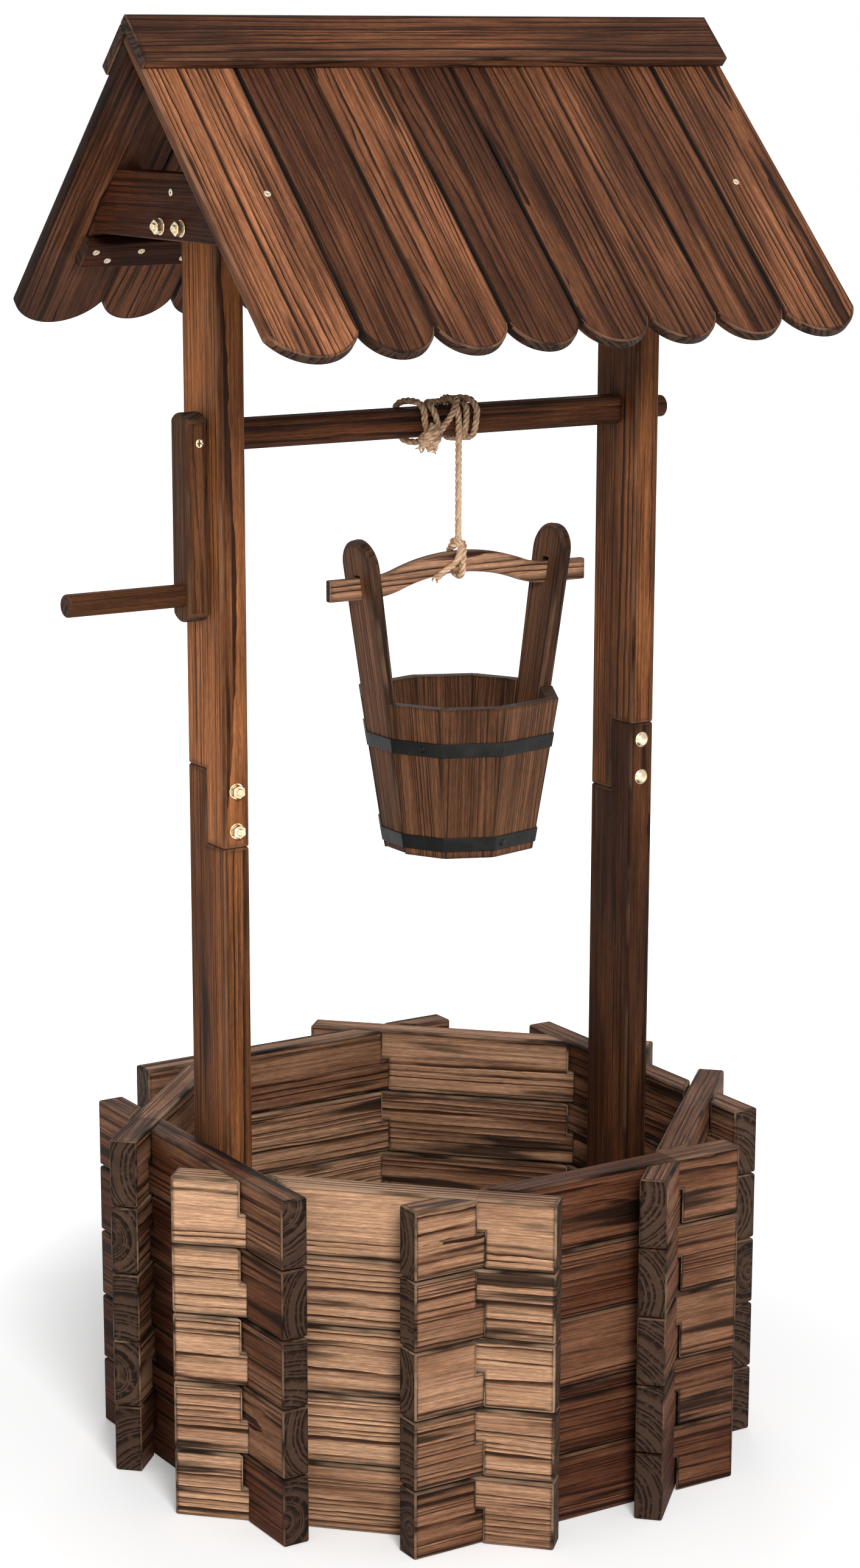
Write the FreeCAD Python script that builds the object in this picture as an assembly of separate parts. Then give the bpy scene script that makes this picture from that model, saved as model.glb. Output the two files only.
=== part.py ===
import FreeCAD, Part
import math
import os

V = FreeCAD.Vector
X_AXIS = V(1, 0, 0)
Y_AXIS = V(0, 1, 0)
Z_AXIS = V(0, 0, 1)

# Wishing well planter: an octagonal planter of half-lapped boards, two bolted posts, a gabled board roof,
# a windlass with a crank, and a coopered bucket on a rope. Millimetres, +Z up, front towards -Y.
# The origin is on the floor at the middle of the planter.

# Planter wall
stock_thickness = 23.0          # wall boards, posts and collars are sawn from one stock
board_height = 57.7
wall_courses = 5
wall_side = 190.0               # outer face of the octagon, corner to corner
wall_faces = 8
tail_length = 60.0              # how far a board runs past its corner
notch_clearance = 1.5           # each side of the neighbour in a half-lap
wall_arris = 2.5                # eased long edges of a board

# Posts and their lap joints
post_width = 57.0
post_arris = 2.0
lap_bottom = 537.0
lap_length = 60.0
lap_bolt_inset = 14.0           # first and last bolt from the ends of the lap
post_over_collar = 1.0          # how far the post stops below the collar's top

# Windlass
axle_height = 858.0
axle_square = 23.0
axle_arris = 3.0
tenon_diameter = 18.0
running_clearance = 0.1         # radial, tenon in its post
shoulder_gap = 0.5              # axle's shoulder to the post
tenon_overhang = 23.5           # right end beyond its post
crank_gap = 1.5                 # crank arm to the post
crank_thickness = 18.0
crank_width = 26.0
crank_top = 19.0                # above the axle's centre
crank_reach = 143.0             # below the axle's centre
crank_arch = 6.0                # rise of the rounded ends
crank_arris = 1.6
tenon_in_crank = 14.0           # left tenon into the crank arm, short of its outer face
handle_diameter = 18.0
handle_throw = 122.0
handle_length = 118.0           # with the stretch held in the arm
handle_arris = 1.5
socket_clearance = 0.1          # radial, glued dowels and tenon
pin_diameter = 2.5
pin_above = 4.0
pin_below = 7.0
pin_foot = 9.0
pin_inset = 8.0                 # from the end of the tenon
pin_bend = 4.0

# Roof
roof_slope = 45.0
board_thickness = 9.0
roof_over_collar = 102.0        # ridge line of the boards above the collar's top
first_board_width = 78.0
middle_board_width = 63.5
middle_boards = 6
last_board_width = 71.0
board_straight = 292.0          # ridge to the start of the rounded end
board_round = 23.0              # rise of the rounded end
board_arris = 1.0
cap_thickness = 10.0
cap_overrun = 1.0               # past the roof boards at each end
front_cap_width = 46.5          # covers the top edge of the back cap
back_cap_width = 44.0
cap_arris = 1.2
batten_width = 27.0
batten_thickness = 11.0
batten_setback = 33.5           # short of the roof's end
lower_batten_start = 209.0      # down the slope
upper_batten_start = 28.0
batten_arris = 1.2

# Collars at the gables
collar_height = 50.0
collar_sweep_gap = 5.0          # crank's tip to the collar
collar_half_width = 128.0
collar_bolt_spacing = 33.0
collar_bolt_rise = 10.0         # above the collar's lower edge

# Floor
bearer_height = 28.0
bearer_spacing = 110.0
slat_thickness = 10.0
slat_width = 57.0
slat_pitch = 70.0
slat_count = 5
floor_clearance = 2.0

# Fasteners
bolt_diameter = 6.0
bolt_hole = 6.4
bolt_head_diameter = 13.0
bolt_head_height = 3.6
bolt_head_bevel = 2.2
fastener_sides = 12             # flats round a bolt, a washer, their holes and a knot
washer_diameter = 13.0
washer_thickness = 1.2
nut_across_flats = 10.0
nut_height = 5.0
thread_clearance = 0.1          # radial, between a shank and its nut or washer
bolt_beyond_nut = 2.0

# Rope
rope_diameter = 5.0
rope_sides = 5                  # flats round the wound and knotted rope
winding_clearance = 0.2         # rope to the axle's eased corners
rope_x = 18.0
rope_hang = 94.0                # axle's centre to the top of the knot
rope_end_length = 10.0
rope_end_bevel = 1.5            # bevelled foot of the rope over the knot
knot_gap = 0.3

# Bucket
bucket_bottom_apothem = 60.0
bucket_rim_apothem = 78.5
bucket_height = 120.0
stave_thickness = 10.0
tall_stave_angle = 14.5         # from a tall stave's middle to its joint with the next, degrees
tall_stave_top_width = 44.0
tall_stave_rise = 134.0         # top of a tall stave above the rim
short_staves = 4                # between the tall staves, each side
bail_height = 17.5
bail_thickness = 6.5
bail_length = 244.0
bail_rise = 15.0
bail_flat_half = 84.0           # half the arched part
bail_sweep_in = 26.0            # length of the hollow bend beside each stave
bail_arris = 1.0
bail_slot_side = 0.2
bail_slot_top = 1.5
rim_under_bail = 88.5           # rim to the lower edge of the bail's ends
bottom_thickness = 9.0
bottom_inset = 7.0
croze_depth = 3.0
croze_clearance = 0.2
hoop_height = 11.5
hoop_thickness = 1.2
upper_hoop_drop = 34.0          # rim to the hoop's lower edge
lower_hoop_rise = 6.5           # bucket's foot to the hoop's lower edge
knot_radius = 8.0
knot_height = 8.85
knot_foot_bevel = 2.5
knot_top_bevel = 4.5
knot_bend = 2.5                 # bevel where the loop turns round the bail's edges
knot_ease = 1.2                 # eased edges of the loop's rope
knot_clearance = 0.15
knot_tail_drop = 14.0           # frayed end below the middle of the loop
knot_tail_reach = 26.0          # and to its left

# Worked out from the sizes above
half_turn = math.radians(180.0 / wall_faces)
wall_apothem = wall_side / 2 / math.tan(half_turn)
wall_inner = wall_apothem - stock_thickness
wall_height = wall_courses * board_height
post_x = wall_inner - stock_thickness / 2
post_inner = wall_inner - stock_thickness
lap_top = lap_bottom + lap_length
collar_bottom = axle_height + crank_reach + collar_sweep_gap
collar_top = collar_bottom + collar_height
post_top = collar_top - post_over_collar
ridge_height = collar_top + roof_over_collar
roof_length = first_board_width + middle_boards * middle_board_width + last_board_width
slope = math.radians(roof_slope)
axle_corner = math.hypot(axle_square / 2, axle_square / 2 - axle_arris)
winding_radius = axle_corner + rope_diameter / 2 + winding_clearance
rope_y = -winding_radius
knot_top = axle_height - rope_hang
bail_top = knot_top - knot_height - knot_clearance
bail_end_bottom = bail_top - bail_rise - bail_height
rim_height = bail_end_bottom - rim_under_bail
foot_height = rim_height - bucket_height
stave_lean = math.atan2(bucket_rim_apothem - bucket_bottom_apothem, bucket_height)


def write(name, shape):
    """One node: a solid, or a group of separate solids."""
    shape.exportStep("parts/%s.step" % name)
    solids = shape.Solids
    print("%-24s %2d solids  %10.0f mm3" % (name, len(solids), sum(s.Volume for s in solids)))


def block(x0, x1, y0, y1, z0, z1):
    return Part.makeBox(x1 - x0, y1 - y0, z1 - z0, V(x0, y0, z0))


def eased(shape, direction, size):
    """The shape with the straight edges that run along one direction chamfered."""
    edges = []
    for edge in shape.Edges:
        along = abs(edge.tangentAt(edge.FirstParameter).dot(direction)) > 0.999
        if along and edge.Curve.TypeId == "Part::GeomLine":
            edges.append(edge)
    return shape.makeChamfer(size, edges)


def rod(start, end, diameter):
    run = end - start
    return Part.makeCylinder(diameter / 2, run.Length, start, run)


def polygon(centre, u, v, radius, sides):
    """A regular polygon about a centre, in the plane of two unit vectors, with its first corner along u."""
    step = 2 * math.pi / sides
    ring = []
    for i in range(sides):
        ring.append(centre + u * (radius * math.cos(step * i)) + v * (radius * math.sin(step * i)))
    return Part.makePolygon(ring + ring[:1])


def prism(start, end, diameter, sides):
    """A straight bar with flat sides; the diameter is across its corners."""
    run = end - start
    along = V(run)
    along.normalize()
    up = Z_AXIS if abs(along.dot(Z_AXIS)) < 0.5 else X_AXIS
    return Part.Face(polygon(start, up, along.cross(up), diameter / 2, sides)).extrude(run)


def bevelled(shape, centre, direction, size):
    """The shape with the rim of its flat end, which lies across a direction at a centre, chamfered."""
    rim = [edge for edge in shape.Edges if abs(edge.tangentAt(0).dot(direction)) < 1e-6
           and abs((edge.CenterOfMass - centre).dot(direction)) < 1e-6]
    return shape.makeChamfer(size, rim)


def turned(shape, degrees, centre=V(0, 0, 0), axis=Z_AXIS):
    copy = shape.copy()
    copy.rotate(centre, axis, degrees)
    return copy


def moved(shape, x=0.0, y=0.0, z=0.0):
    copy = shape.copy()
    copy.translate(V(x, y, z))
    return copy


def plate(points, thickness_vector):
    """A flat plate from a closed outline of (start, end) lines and (start, middle, end) arcs."""
    edges = []
    for piece in points:
        if len(piece) == 3:
            edges.append(Part.Arc(*piece).toShape())
        else:
            edges.append(Part.LineSegment(*piece).toShape())
    return Part.Face(Part.Wire(edges)).extrude(thickness_vector)


def hexahedron(lower, upper):
    """A solid with flat faces between two four-cornered outlines, both taken the same way round."""
    faces = [Part.Face(Part.makePolygon(lower + lower[:1])), Part.Face(Part.makePolygon(upper + upper[:1]))]
    for i in range(4):
        j = (i + 1) % 4
        faces.append(Part.Face(Part.makePolygon([lower[i], lower[j], upper[j], upper[i], lower[i]])))
    return Part.makeSolid(Part.makeShell(faces))


# Fasteners

def carriage_bolt(head_seat, direction, grip):
    """A bolt whose low head sits on head_seat and whose shank runs along direction through the grip."""
    length = grip + washer_thickness + nut_height + bolt_beyond_nut
    crown = head_seat - direction * bolt_head_height
    head = prism(crown, head_seat, bolt_head_diameter, fastener_sides)
    head = bevelled(head, crown, direction, bolt_head_bevel)
    return head.fuse(prism(head_seat, head_seat + direction * length, bolt_diameter, fastener_sides))


def bored(shape, seat, direction, thickness):
    bore = bolt_diameter + 2 * thread_clearance
    return shape.cut(prism(seat, seat + direction * thickness, bore, fastener_sides))


def washer(seat, direction):
    disc = prism(seat, seat + direction * washer_thickness, washer_diameter, fastener_sides)
    return bored(disc, seat, direction, washer_thickness)


def nut(seat, direction):
    corners = nut_across_flats / math.cos(math.radians(30))
    return bored(prism(seat, seat + direction * nut_height, corners, 6), seat, direction, nut_height)


def bolt_set(head_seat, direction, grip):
    """The bolt, washer and nut of one fixing."""
    seat = head_seat + direction * grip
    return (carriage_bolt(head_seat, direction, grip), washer(seat, direction),
            nut(seat + direction * washer_thickness, direction))


def bolt_passage(head_seat, direction, grip):
    margin = direction * stock_thickness
    return prism(head_seat - margin, head_seat + direction * grip + margin, bolt_hole, fastener_sides)


# Rope

def tangent_wire(points, label):
    """Straight runs joined by tangent arcs as large as the shorter run beside each bend allows."""
    points = [V(*p) for p in points]
    edges = []
    radii = []
    start = points[0]
    for before, corner, after in zip(points, points[1:], points[2:]):
        into = corner - before
        out = after - corner
        shorter = min(into.Length, out.Length)
        turn = into.getAngle(out)
        radius = 0.45 * shorter / math.tan(turn / 2)
        reach = radius * math.tan(turn / 2)
        into.normalize()
        out.normalize()
        first = corner - into * reach
        last = corner + out * reach
        inward = out - into
        inward.normalize()
        middle = corner + inward * (radius / math.cos(turn / 2) - radius)
        edges.append(Part.LineSegment(start, first).toShape())
        edges.append(Part.Arc(first, middle, last).toShape())
        radii.append(radius)
        start = last
    edges.append(Part.LineSegment(start, points[-1]).toShape())
    print("%s bend radii: %s mm" % (label, ", ".join("%.1f" % r for r in radii)))
    return Part.Wire(edges)


def faceted_tube(wire, diameter, sides):
    """A tube of flat-sided section along a wire that doesn't start along Y."""
    start = wire.Edges[0]
    direction = start.tangentAt(start.FirstParameter)
    u = Y_AXIS.cross(direction)
    u.normalize()
    section = polygon(start.valueAt(start.FirstParameter), u, direction.cross(u), diameter / 2, sides)
    return wire.makePipeShell([section], True, False)


def rope_tube(wire, label):
    tube = faceted_tube(wire, rope_diameter, rope_sides)
    section = rope_sides * rope_diameter ** 2 / 8 * math.sin(2 * math.pi / rope_sides)
    print("%s: %.0f mm long, volume is %.4f of section by length"
          % (label, wire.Length, tube.Volume / (section * wire.Length)))
    return tube


def arc_between(a, a_dir, b, b_dir):
    """Two arcs that leave a along a_dir, reach b along b_dir and share a tangent where they meet."""
    gap = b - a
    both = a_dir + b_dir
    spread = 2 * (1 - a_dir.dot(b_dir))
    along = gap.dot(both)
    if spread < 1e-9:
        reach = gap.dot(gap) / (2 * along)
    else:
        reach = (math.sqrt(along * along + spread * gap.dot(gap)) - along) / spread
    first = a + a_dir * reach
    last = b - b_dir * reach
    meet = (first + last) * 0.5
    edges = []
    for start, tangent, knee, end in ((a, a_dir, first, meet), (meet, last - first, last, b)):
        unit = V(tangent)
        unit.normalize()
        chord = end - start
        bend = unit.getAngle(chord)
        if bend < 1e-6:
            edges.append(Part.LineSegment(start, end).toShape())
            continue
        toward = (start + end) * 0.5 - knee
        toward.normalize()
        height = chord.Length / 2 * math.tan(bend / 2)
        middle = (start + end) * 0.5 - toward * height
        edges.append(Part.Arc(start, middle, end).toShape())
    return edges


# Stations of the wound rope, a quarter turn apart: the place along the axle, the lift off its first layer.
# The rope comes up at the front, winds to the right, crosses back under the axle, makes the left-hand loops
# and ends in a slanting crossing over the top of them.
winding_stations = [
    (18.0, 0.0), (19.5, 0.0), (21.5, 0.0), (24.0, 0.0),
    (26.0, 0.0), (28.5, 0.0), (31.5, 0.0), (35.0, 0.0),
    (37.5, 0.0), (38.5, 1.5), (34.0, 5.8), (16.0, 6.2),
    (0.5, 0.0), (-2.0, 0.0), (-6.0, 0.0), (-7.0, 0.0),
    (-9.0, 0.0), (-13.0, 0.0), (-20.0, 2.0), (-16.0, 5.9),
    (-1.0, 6.1), (17.0, 6.3), (24.0, 6.1),
]


def winding_point(index):
    """Where the rope's centre line is at a station, and its direction there."""
    count = len(winding_stations)
    x, lift = winding_stations[index]
    before = winding_stations[max(index - 1, 0)]
    after = winding_stations[min(index + 1, count - 1)]
    span = (min(index + 1, count - 1) - max(index - 1, 0)) * math.pi / 2
    x_rate = (after[0] - before[0]) / span
    lift_rate = (after[1] - before[1]) / span
    if index == 0:
        x_rate = 0.0
    if lift == 0:
        lift_rate = 0.0
    turn = index * math.pi / 2
    radius = winding_radius + lift
    along = x - winding_stations[0][0] + rope_x
    place = V(along, -radius * math.cos(turn), axle_height + radius * math.sin(turn))
    direction = V(x_rate, radius * math.sin(turn) - lift_rate * math.cos(turn),
                  radius * math.cos(turn) + lift_rate * math.sin(turn))
    direction.normalize()
    return place, direction


def least_gap(edges, diameter):
    """The least distance between the tube and itself, measured on points along its line."""
    points = []
    lengths = []
    run = 0.0
    for edge in edges:
        steps = max(2, int(edge.Length / 1.0))
        for i in range(steps):
            share = i / steps
            parameter = edge.FirstParameter + (edge.LastParameter - edge.FirstParameter) * share
            points.append(edge.valueAt(parameter))
            lengths.append(run + edge.Length * share)
        run += edge.Length
    least = 1e9
    apart = 4 * diameter
    for i, p in enumerate(points):
        for j in range(i + 1, len(points)):
            if lengths[j] - lengths[i] > apart:
                least = min(least, (points[j] - p).Length)
    return least - diameter


def rope_winding():
    edges = []
    first, direction = winding_point(0)
    foot = first - Z_AXIS * rope_diameter
    edges.append(Part.LineSegment(foot, first).toShape())
    for i in range(len(winding_stations) - 1):
        a, a_dir = winding_point(i)
        b, b_dir = winding_point(i + 1)
        edges.extend(arc_between(a, a_dir, b, b_dir))
    last, end_dir = winding_point(len(winding_stations) - 1)
    edges.append(Part.LineSegment(last, last + end_dir * rope_diameter).toShape())
    print("rope winding: least gap to itself %.2f mm" % least_gap(edges, rope_diameter))
    return rope_tube(Part.Wire(edges), "rope winding")


# Planter wall

def slab_of_face(degrees, z0, z1, clearance):
    """The space that the boards of a wall face take up, turned to that face."""
    reach = wall_side
    slab = block(-reach, reach, -wall_apothem - clearance, -wall_inner + clearance, z0, z1)
    return turned(slab, degrees)


def wall_board():
    """One board of the front face, lowest course: its left end is notched above, its right end below."""
    half = wall_side / 2 + tail_length
    board = eased(block(-half, half, -wall_apothem, -wall_inner, 0, board_height), X_AXIS, wall_arris)
    middle = board_height / 2
    step = 360.0 / wall_faces
    board = board.cut(slab_of_face(-step, middle, board_height + 1, notch_clearance))
    return board.cut(slab_of_face(step, -1, middle, notch_clearance))


def wall_nodes():
    names = ("front", "front_right", "right", "back_right", "back", "back_left", "left", "front_left")
    board = wall_board()
    for i, name in enumerate(names):
        face = turned(board, i * 360.0 / wall_faces)
        boards = [moved(face, z=course * board_height) for course in range(wall_courses)]
        write("wall_%s" % name, Part.makeCompound(boards))


def inner_octagon(clearance, z0, z1):
    """The space inside the wall, short of it by a clearance."""
    corner = (wall_inner - clearance) / math.cos(half_turn)
    ring = []
    for i in range(wall_faces):
        angle = half_turn * (2 * i + 1)
        ring.append(V(corner * math.cos(angle), corner * math.sin(angle), z0))
    return Part.Face(Part.makePolygon(ring + ring[:1])).extrude(V(0, 0, z1 - z0))


def floor_nodes():
    half = stock_thickness / 2
    inside = inner_octagon(floor_clearance, 0, bearer_height + slat_thickness)
    bearers = [block(-post_inner, post_inner, -half, half, 0, bearer_height)]
    for y in (-bearer_spacing, bearer_spacing):
        bearer = block(-wall_apothem, wall_apothem, y - half, y + half, 0, bearer_height)
        bearers.append(bearer.common(inside))
    write("floor_bearers", Part.makeCompound(bearers))
    slats = []
    for i in range(slat_count):
        x = (i - (slat_count - 1) / 2) * slat_pitch
        slat = block(x - slat_width / 2, x + slat_width / 2, -wall_apothem, wall_apothem,
                     bearer_height, bearer_height + slat_thickness)
        slats.append(slat.common(inside))
    write("floor_slats", Part.makeCompound(slats))


# Posts

def post_bar(z0, z1):
    half = stock_thickness / 2
    return eased(block(-half, half, -post_width / 2, post_width / 2, z0, z1), Z_AXIS, post_arris)


def lap_bolt_seats():
    """Where the heads of a post's lap bolts sit, on the back of the left post, before it is placed."""
    return [V(0, post_width / 2, lap_bottom + lap_bolt_inset), V(0, post_width / 2, lap_top - lap_bolt_inset)]


def collar_bolt_seats():
    """Where the heads of the collar bolts sit, on the right face of the left post, before it is placed."""
    z = collar_bottom + collar_bolt_rise
    return [V(stock_thickness / 2, y, z) for y in (-collar_bolt_spacing / 2, collar_bolt_spacing / 2)]


def left_lower_post():
    bar = post_bar(0, lap_top)
    half = post_width
    bar = bar.cut(block(-half, half, -half, 0, lap_bottom, lap_top + 1))
    for seat in lap_bolt_seats():
        bar = bar.cut(bolt_passage(seat, Y_AXIS * -1, post_width))
    return bar


def left_upper_post():
    bar = post_bar(lap_bottom, post_top)
    half = post_width
    bar = bar.cut(block(-half, half, 0, half, lap_bottom - 1, lap_top))
    for seat in lap_bolt_seats():
        bar = bar.cut(bolt_passage(seat, Y_AXIS * -1, post_width))
    for seat in collar_bolt_seats():
        bar = bar.cut(bolt_passage(seat, X_AXIS * -1, 2 * stock_thickness))
    bearing = rod(V(-half, 0, axle_height), V(half, 0, axle_height), tenon_diameter + 2 * running_clearance)
    return bar.cut(bearing)


def collar():
    """The left gable's collar, placed against the outer face of its post: its ends follow the roof."""
    under = ridge_height - board_thickness / math.cos(slope)
    half_top = (under - collar_top) / math.tan(slope)
    shoulder = under - collar_half_width * math.tan(slope)
    x = -stock_thickness / 2
    ring = [(-collar_half_width, collar_bottom), (collar_half_width, collar_bottom),
            (collar_half_width, shoulder), (half_top, collar_top), (-half_top, collar_top),
            (-collar_half_width, shoulder)]
    ring = [V(x, y, z) for y, z in ring]
    body = Part.Face(Part.makePolygon(ring + ring[:1])).extrude(V(-stock_thickness, 0, 0))
    for seat in collar_bolt_seats():
        body = body.cut(bolt_passage(seat, X_AXIS * -1, 2 * stock_thickness))
    return body


def post_nodes():
    """The right side is the left side turned half a turn about the middle."""
    lower = left_lower_post()
    upper = left_upper_post()
    tie = collar()
    lap_sets = [bolt_set(seat, Y_AXIS * -1, post_width) for seat in lap_bolt_seats()]
    collar_sets = [bolt_set(seat, X_AXIS * -1, 2 * stock_thickness) for seat in collar_bolt_seats()]

    def placed(shape, side):
        shape = moved(shape, x=-post_x)
        return shape if side == "left" else turned(shape, 180)

    washers = []
    nuts = []
    for side in ("left", "right"):
        write("lower_post_%s" % side, placed(lower, side))
        write("upper_post_%s" % side, placed(upper, side))
        write("collar_%s" % side, placed(tie, side))
        for bolt, ring, hexagon in lap_sets + collar_sets:
            washers.append(placed(ring, side))
            nuts.append(placed(hexagon, side))
    for name, sets in (("lap_bolts", lap_sets), ("collar_bolts", collar_sets)):
        write(name, Part.makeCompound([placed(s[0], side) for side in ("left", "right") for s in sets]))
    write("washers", Part.makeCompound(washers))
    write("nuts", Part.makeCompound(nuts))


# Roof

def on_slope(x, down, depth):
    """A point of the front slope: down from the ridge line, and in from the boards' outer face."""
    y = -down * math.cos(slope) + depth * math.sin(slope)
    z = ridge_height - down * math.sin(slope) - depth * math.cos(slope)
    return V(x, y, z)


def across_slope(thickness):
    return on_slope(0, 0, thickness) - on_slope(0, 0, 0)


def slope_bar(x0, x1, down0, down1, depth0, thickness, arris):
    corners = [(x0, down0), (x1, down0), (x1, down1), (x0, down1)]
    ring = [on_slope(x, down, depth0) for x, down in corners]
    bar = Part.Face(Part.makePolygon(ring + ring[:1])).extrude(across_slope(thickness))
    return eased(bar, X_AXIS, arris)


def roof_board(x0, x1, down0):
    """A board with a rounded lower end and an eased outer edge along its sides and end."""
    a, b = on_slope(x0, down0, 0), on_slope(x1, down0, 0)
    c, d = on_slope(x1, board_straight, 0), on_slope(x0, board_straight, 0)
    tip = on_slope((x0 + x1) / 2, board_straight + board_round, 0)
    board = plate([(a, b), (b, c), (c, tip, d), (d, a)], across_slope(board_thickness))
    edges = []
    outward = across_slope(-1.0)
    for edge in board.Edges:
        middle = edge.valueAt((edge.FirstParameter + edge.LastParameter) / 2)
        outer = abs((middle - a).dot(outward)) < 1e-6
        top = abs((middle - a).dot(b - a)) > 0 and abs((middle - (a + b) * 0.5).Length) < 1e-6
        if outer and not top:
            edges.append(edge)
    return board.makeChamfer(board_arris, edges)


def to_back(shape):
    return turned(shape, 180)


def roof_nodes():
    widths = [first_board_width] + [middle_board_width] * middle_boards + [last_board_width]
    x = -roof_length / 2
    for i, width in enumerate(widths):
        write("roof_front_board_%d" % (i + 1), roof_board(x, x + width, 0.0))
        back = roof_board(-x - width, -x, board_thickness * math.tan(slope))
        write("roof_back_board_%d" % (i + 1), to_back(back))
        x += width
    end = roof_length / 2 + cap_overrun
    front_cap = slope_bar(-end, end, -cap_thickness, front_cap_width - cap_thickness, -cap_thickness,
                          cap_thickness, cap_arris)
    back_cap = slope_bar(-end, end, 0, back_cap_width, -cap_thickness, cap_thickness, cap_arris)
    write("ridge_cap_front", front_cap)
    write("ridge_cap_back", to_back(back_cap))
    reach = roof_length / 2 - batten_setback
    for name, start in (("lower", lower_batten_start), ("upper", upper_batten_start)):
        batten = slope_bar(-reach, reach, start, start + batten_width, board_thickness, batten_thickness,
                           batten_arris)
        write("%s_batten_front" % name, batten)
        write("%s_batten_back" % name, to_back(batten))


# Windlass

def axle():
    half = axle_square / 2
    shoulder = post_inner - shoulder_gap
    body = block(-shoulder, shoulder, -half, half, axle_height - half, axle_height + half)
    left_end = -(wall_inner + crank_gap + tenon_in_crank)
    right_end = wall_inner + tenon_overhang
    tenons = rod(V(left_end, 0, axle_height), V(right_end, 0, axle_height), tenon_diameter)
    x = right_end - pin_inset
    pin_hole = prism(V(x, 0, axle_height - tenon_diameter), V(x, 0, axle_height + tenon_diameter),
                     pin_diameter + 2 * thread_clearance, fastener_sides)
    return eased(body, X_AXIS, axle_arris).fuse(tenons).cut(pin_hole)


def crank_arm():
    x = -(wall_inner + crank_gap)
    half = crank_width / 2
    top = axle_height + crank_top
    foot = axle_height - crank_reach
    a, b = V(x, -half, foot + crank_arch), V(x, half, foot + crank_arch)
    c, d = V(x, half, top - crank_arch), V(x, -half, top - crank_arch)
    arm = plate([(a, V(x, 0, foot), b), (b, c), (c, V(x, 0, top), d), (d, a)], V(-crank_thickness, 0, 0))
    rim = []
    for edge in arm.Edges:
        if abs(edge.tangentAt(edge.FirstParameter).dot(X_AXIS)) < 0.5:
            rim.append(edge)
    arm = arm.makeChamfer(crank_arris, rim)
    low = axle_height - handle_throw
    tenon_socket = rod(V(x, 0, axle_height), V(x - tenon_in_crank - socket_clearance, 0, axle_height),
                       tenon_diameter + 2 * socket_clearance)
    handle_socket = rod(V(x, 0, low), V(x - crank_thickness, 0, low), handle_diameter + 2 * socket_clearance)
    return arm.cut(tenon_socket).cut(handle_socket)


def crank_handle():
    z = axle_height - handle_throw
    start = -(wall_inner + crank_gap)
    dowel = rod(V(start, 0, z), V(start - handle_length, 0, z), handle_diameter)
    outer_rim = [edge for edge in dowel.Edges if edge.BoundBox.XMax < start - handle_length / 2]
    return dowel.makeChamfer(handle_arris, outer_rim)


def axle_pin():
    x = wall_inner + tenon_overhang - pin_inset
    radius = tenon_diameter / 2
    route = [(x, 0, axle_height + radius + pin_above), (x, 0, axle_height - radius - pin_below),
             (x - pin_foot, 0, axle_height - radius - pin_below - pin_bend)]
    return faceted_tube(tangent_wire(route, "axle pin"), pin_diameter, fastener_sides)


def windlass_nodes():
    write("axle", axle())
    write("crank_arm", crank_arm())
    write("crank_handle", crank_handle())
    write("axle_pin", axle_pin())
    write("rope_winding", rope_winding())


# Bucket, built about its own upright axis and then hung under the rope

def apothem_at(z):
    return bucket_bottom_apothem + (z - foot_height) * math.tan(stave_lean)


def stave_outline(z, outer, inner, low, high):
    """The four corners of a stave's cross-section at a height, between two angles from its middle."""
    corners = []
    for apothem, angle in ((outer, low), (outer, high), (inner, high), (inner, low)):
        corners.append(V(apothem, apothem * math.tan(math.radians(angle)), z))
    return corners


def bucket_wedge(low, high, offset, thickness, z0, z1):
    """A leaning plate of the bucket's side between two radial planes; offset is outwards from the staves."""
    level = 1 / math.cos(stave_lean)
    rings = []
    for z in (z0, z1):
        outer = apothem_at(z) + offset * level
        inner = apothem_at(z) + (offset - thickness) * level
        rings.append(stave_outline(z, outer, inner, low, high))
    return hexahedron(rings[0], rings[1])


def bucket_sides():
    """Each side's facing angle, its limits either way from there, and whether its stave is tall."""
    tall = tall_stave_angle
    step = (180.0 - 4 * tall) / (short_staves - 1)
    sides = []
    for start in (0.0, 180.0):
        sides.append((start, -tall, tall, True))
        for i in range(short_staves):
            low = -tall if i == 0 else -step / 2
            high = tall if i == short_staves - 1 else step / 2
            sides.append((start + 2 * tall + i * step, low, high, False))
    return sides


def bucket_polygon(z0, z1, offset):
    """A straight-sided prism with the bucket's sides, in from their outer planes at z0 by an offset."""
    apothem = apothem_at(z0) - offset
    ring = []
    for middle, low, high, tall in bucket_sides():
        radius = apothem / math.cos(math.radians(high))
        angle = math.radians(middle + high)
        ring.append(V(radius * math.cos(angle), radius * math.sin(angle), z0))
    return Part.Face(Part.makePolygon(ring + ring[:1])).extrude(V(0, 0, z1 - z0))


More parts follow.
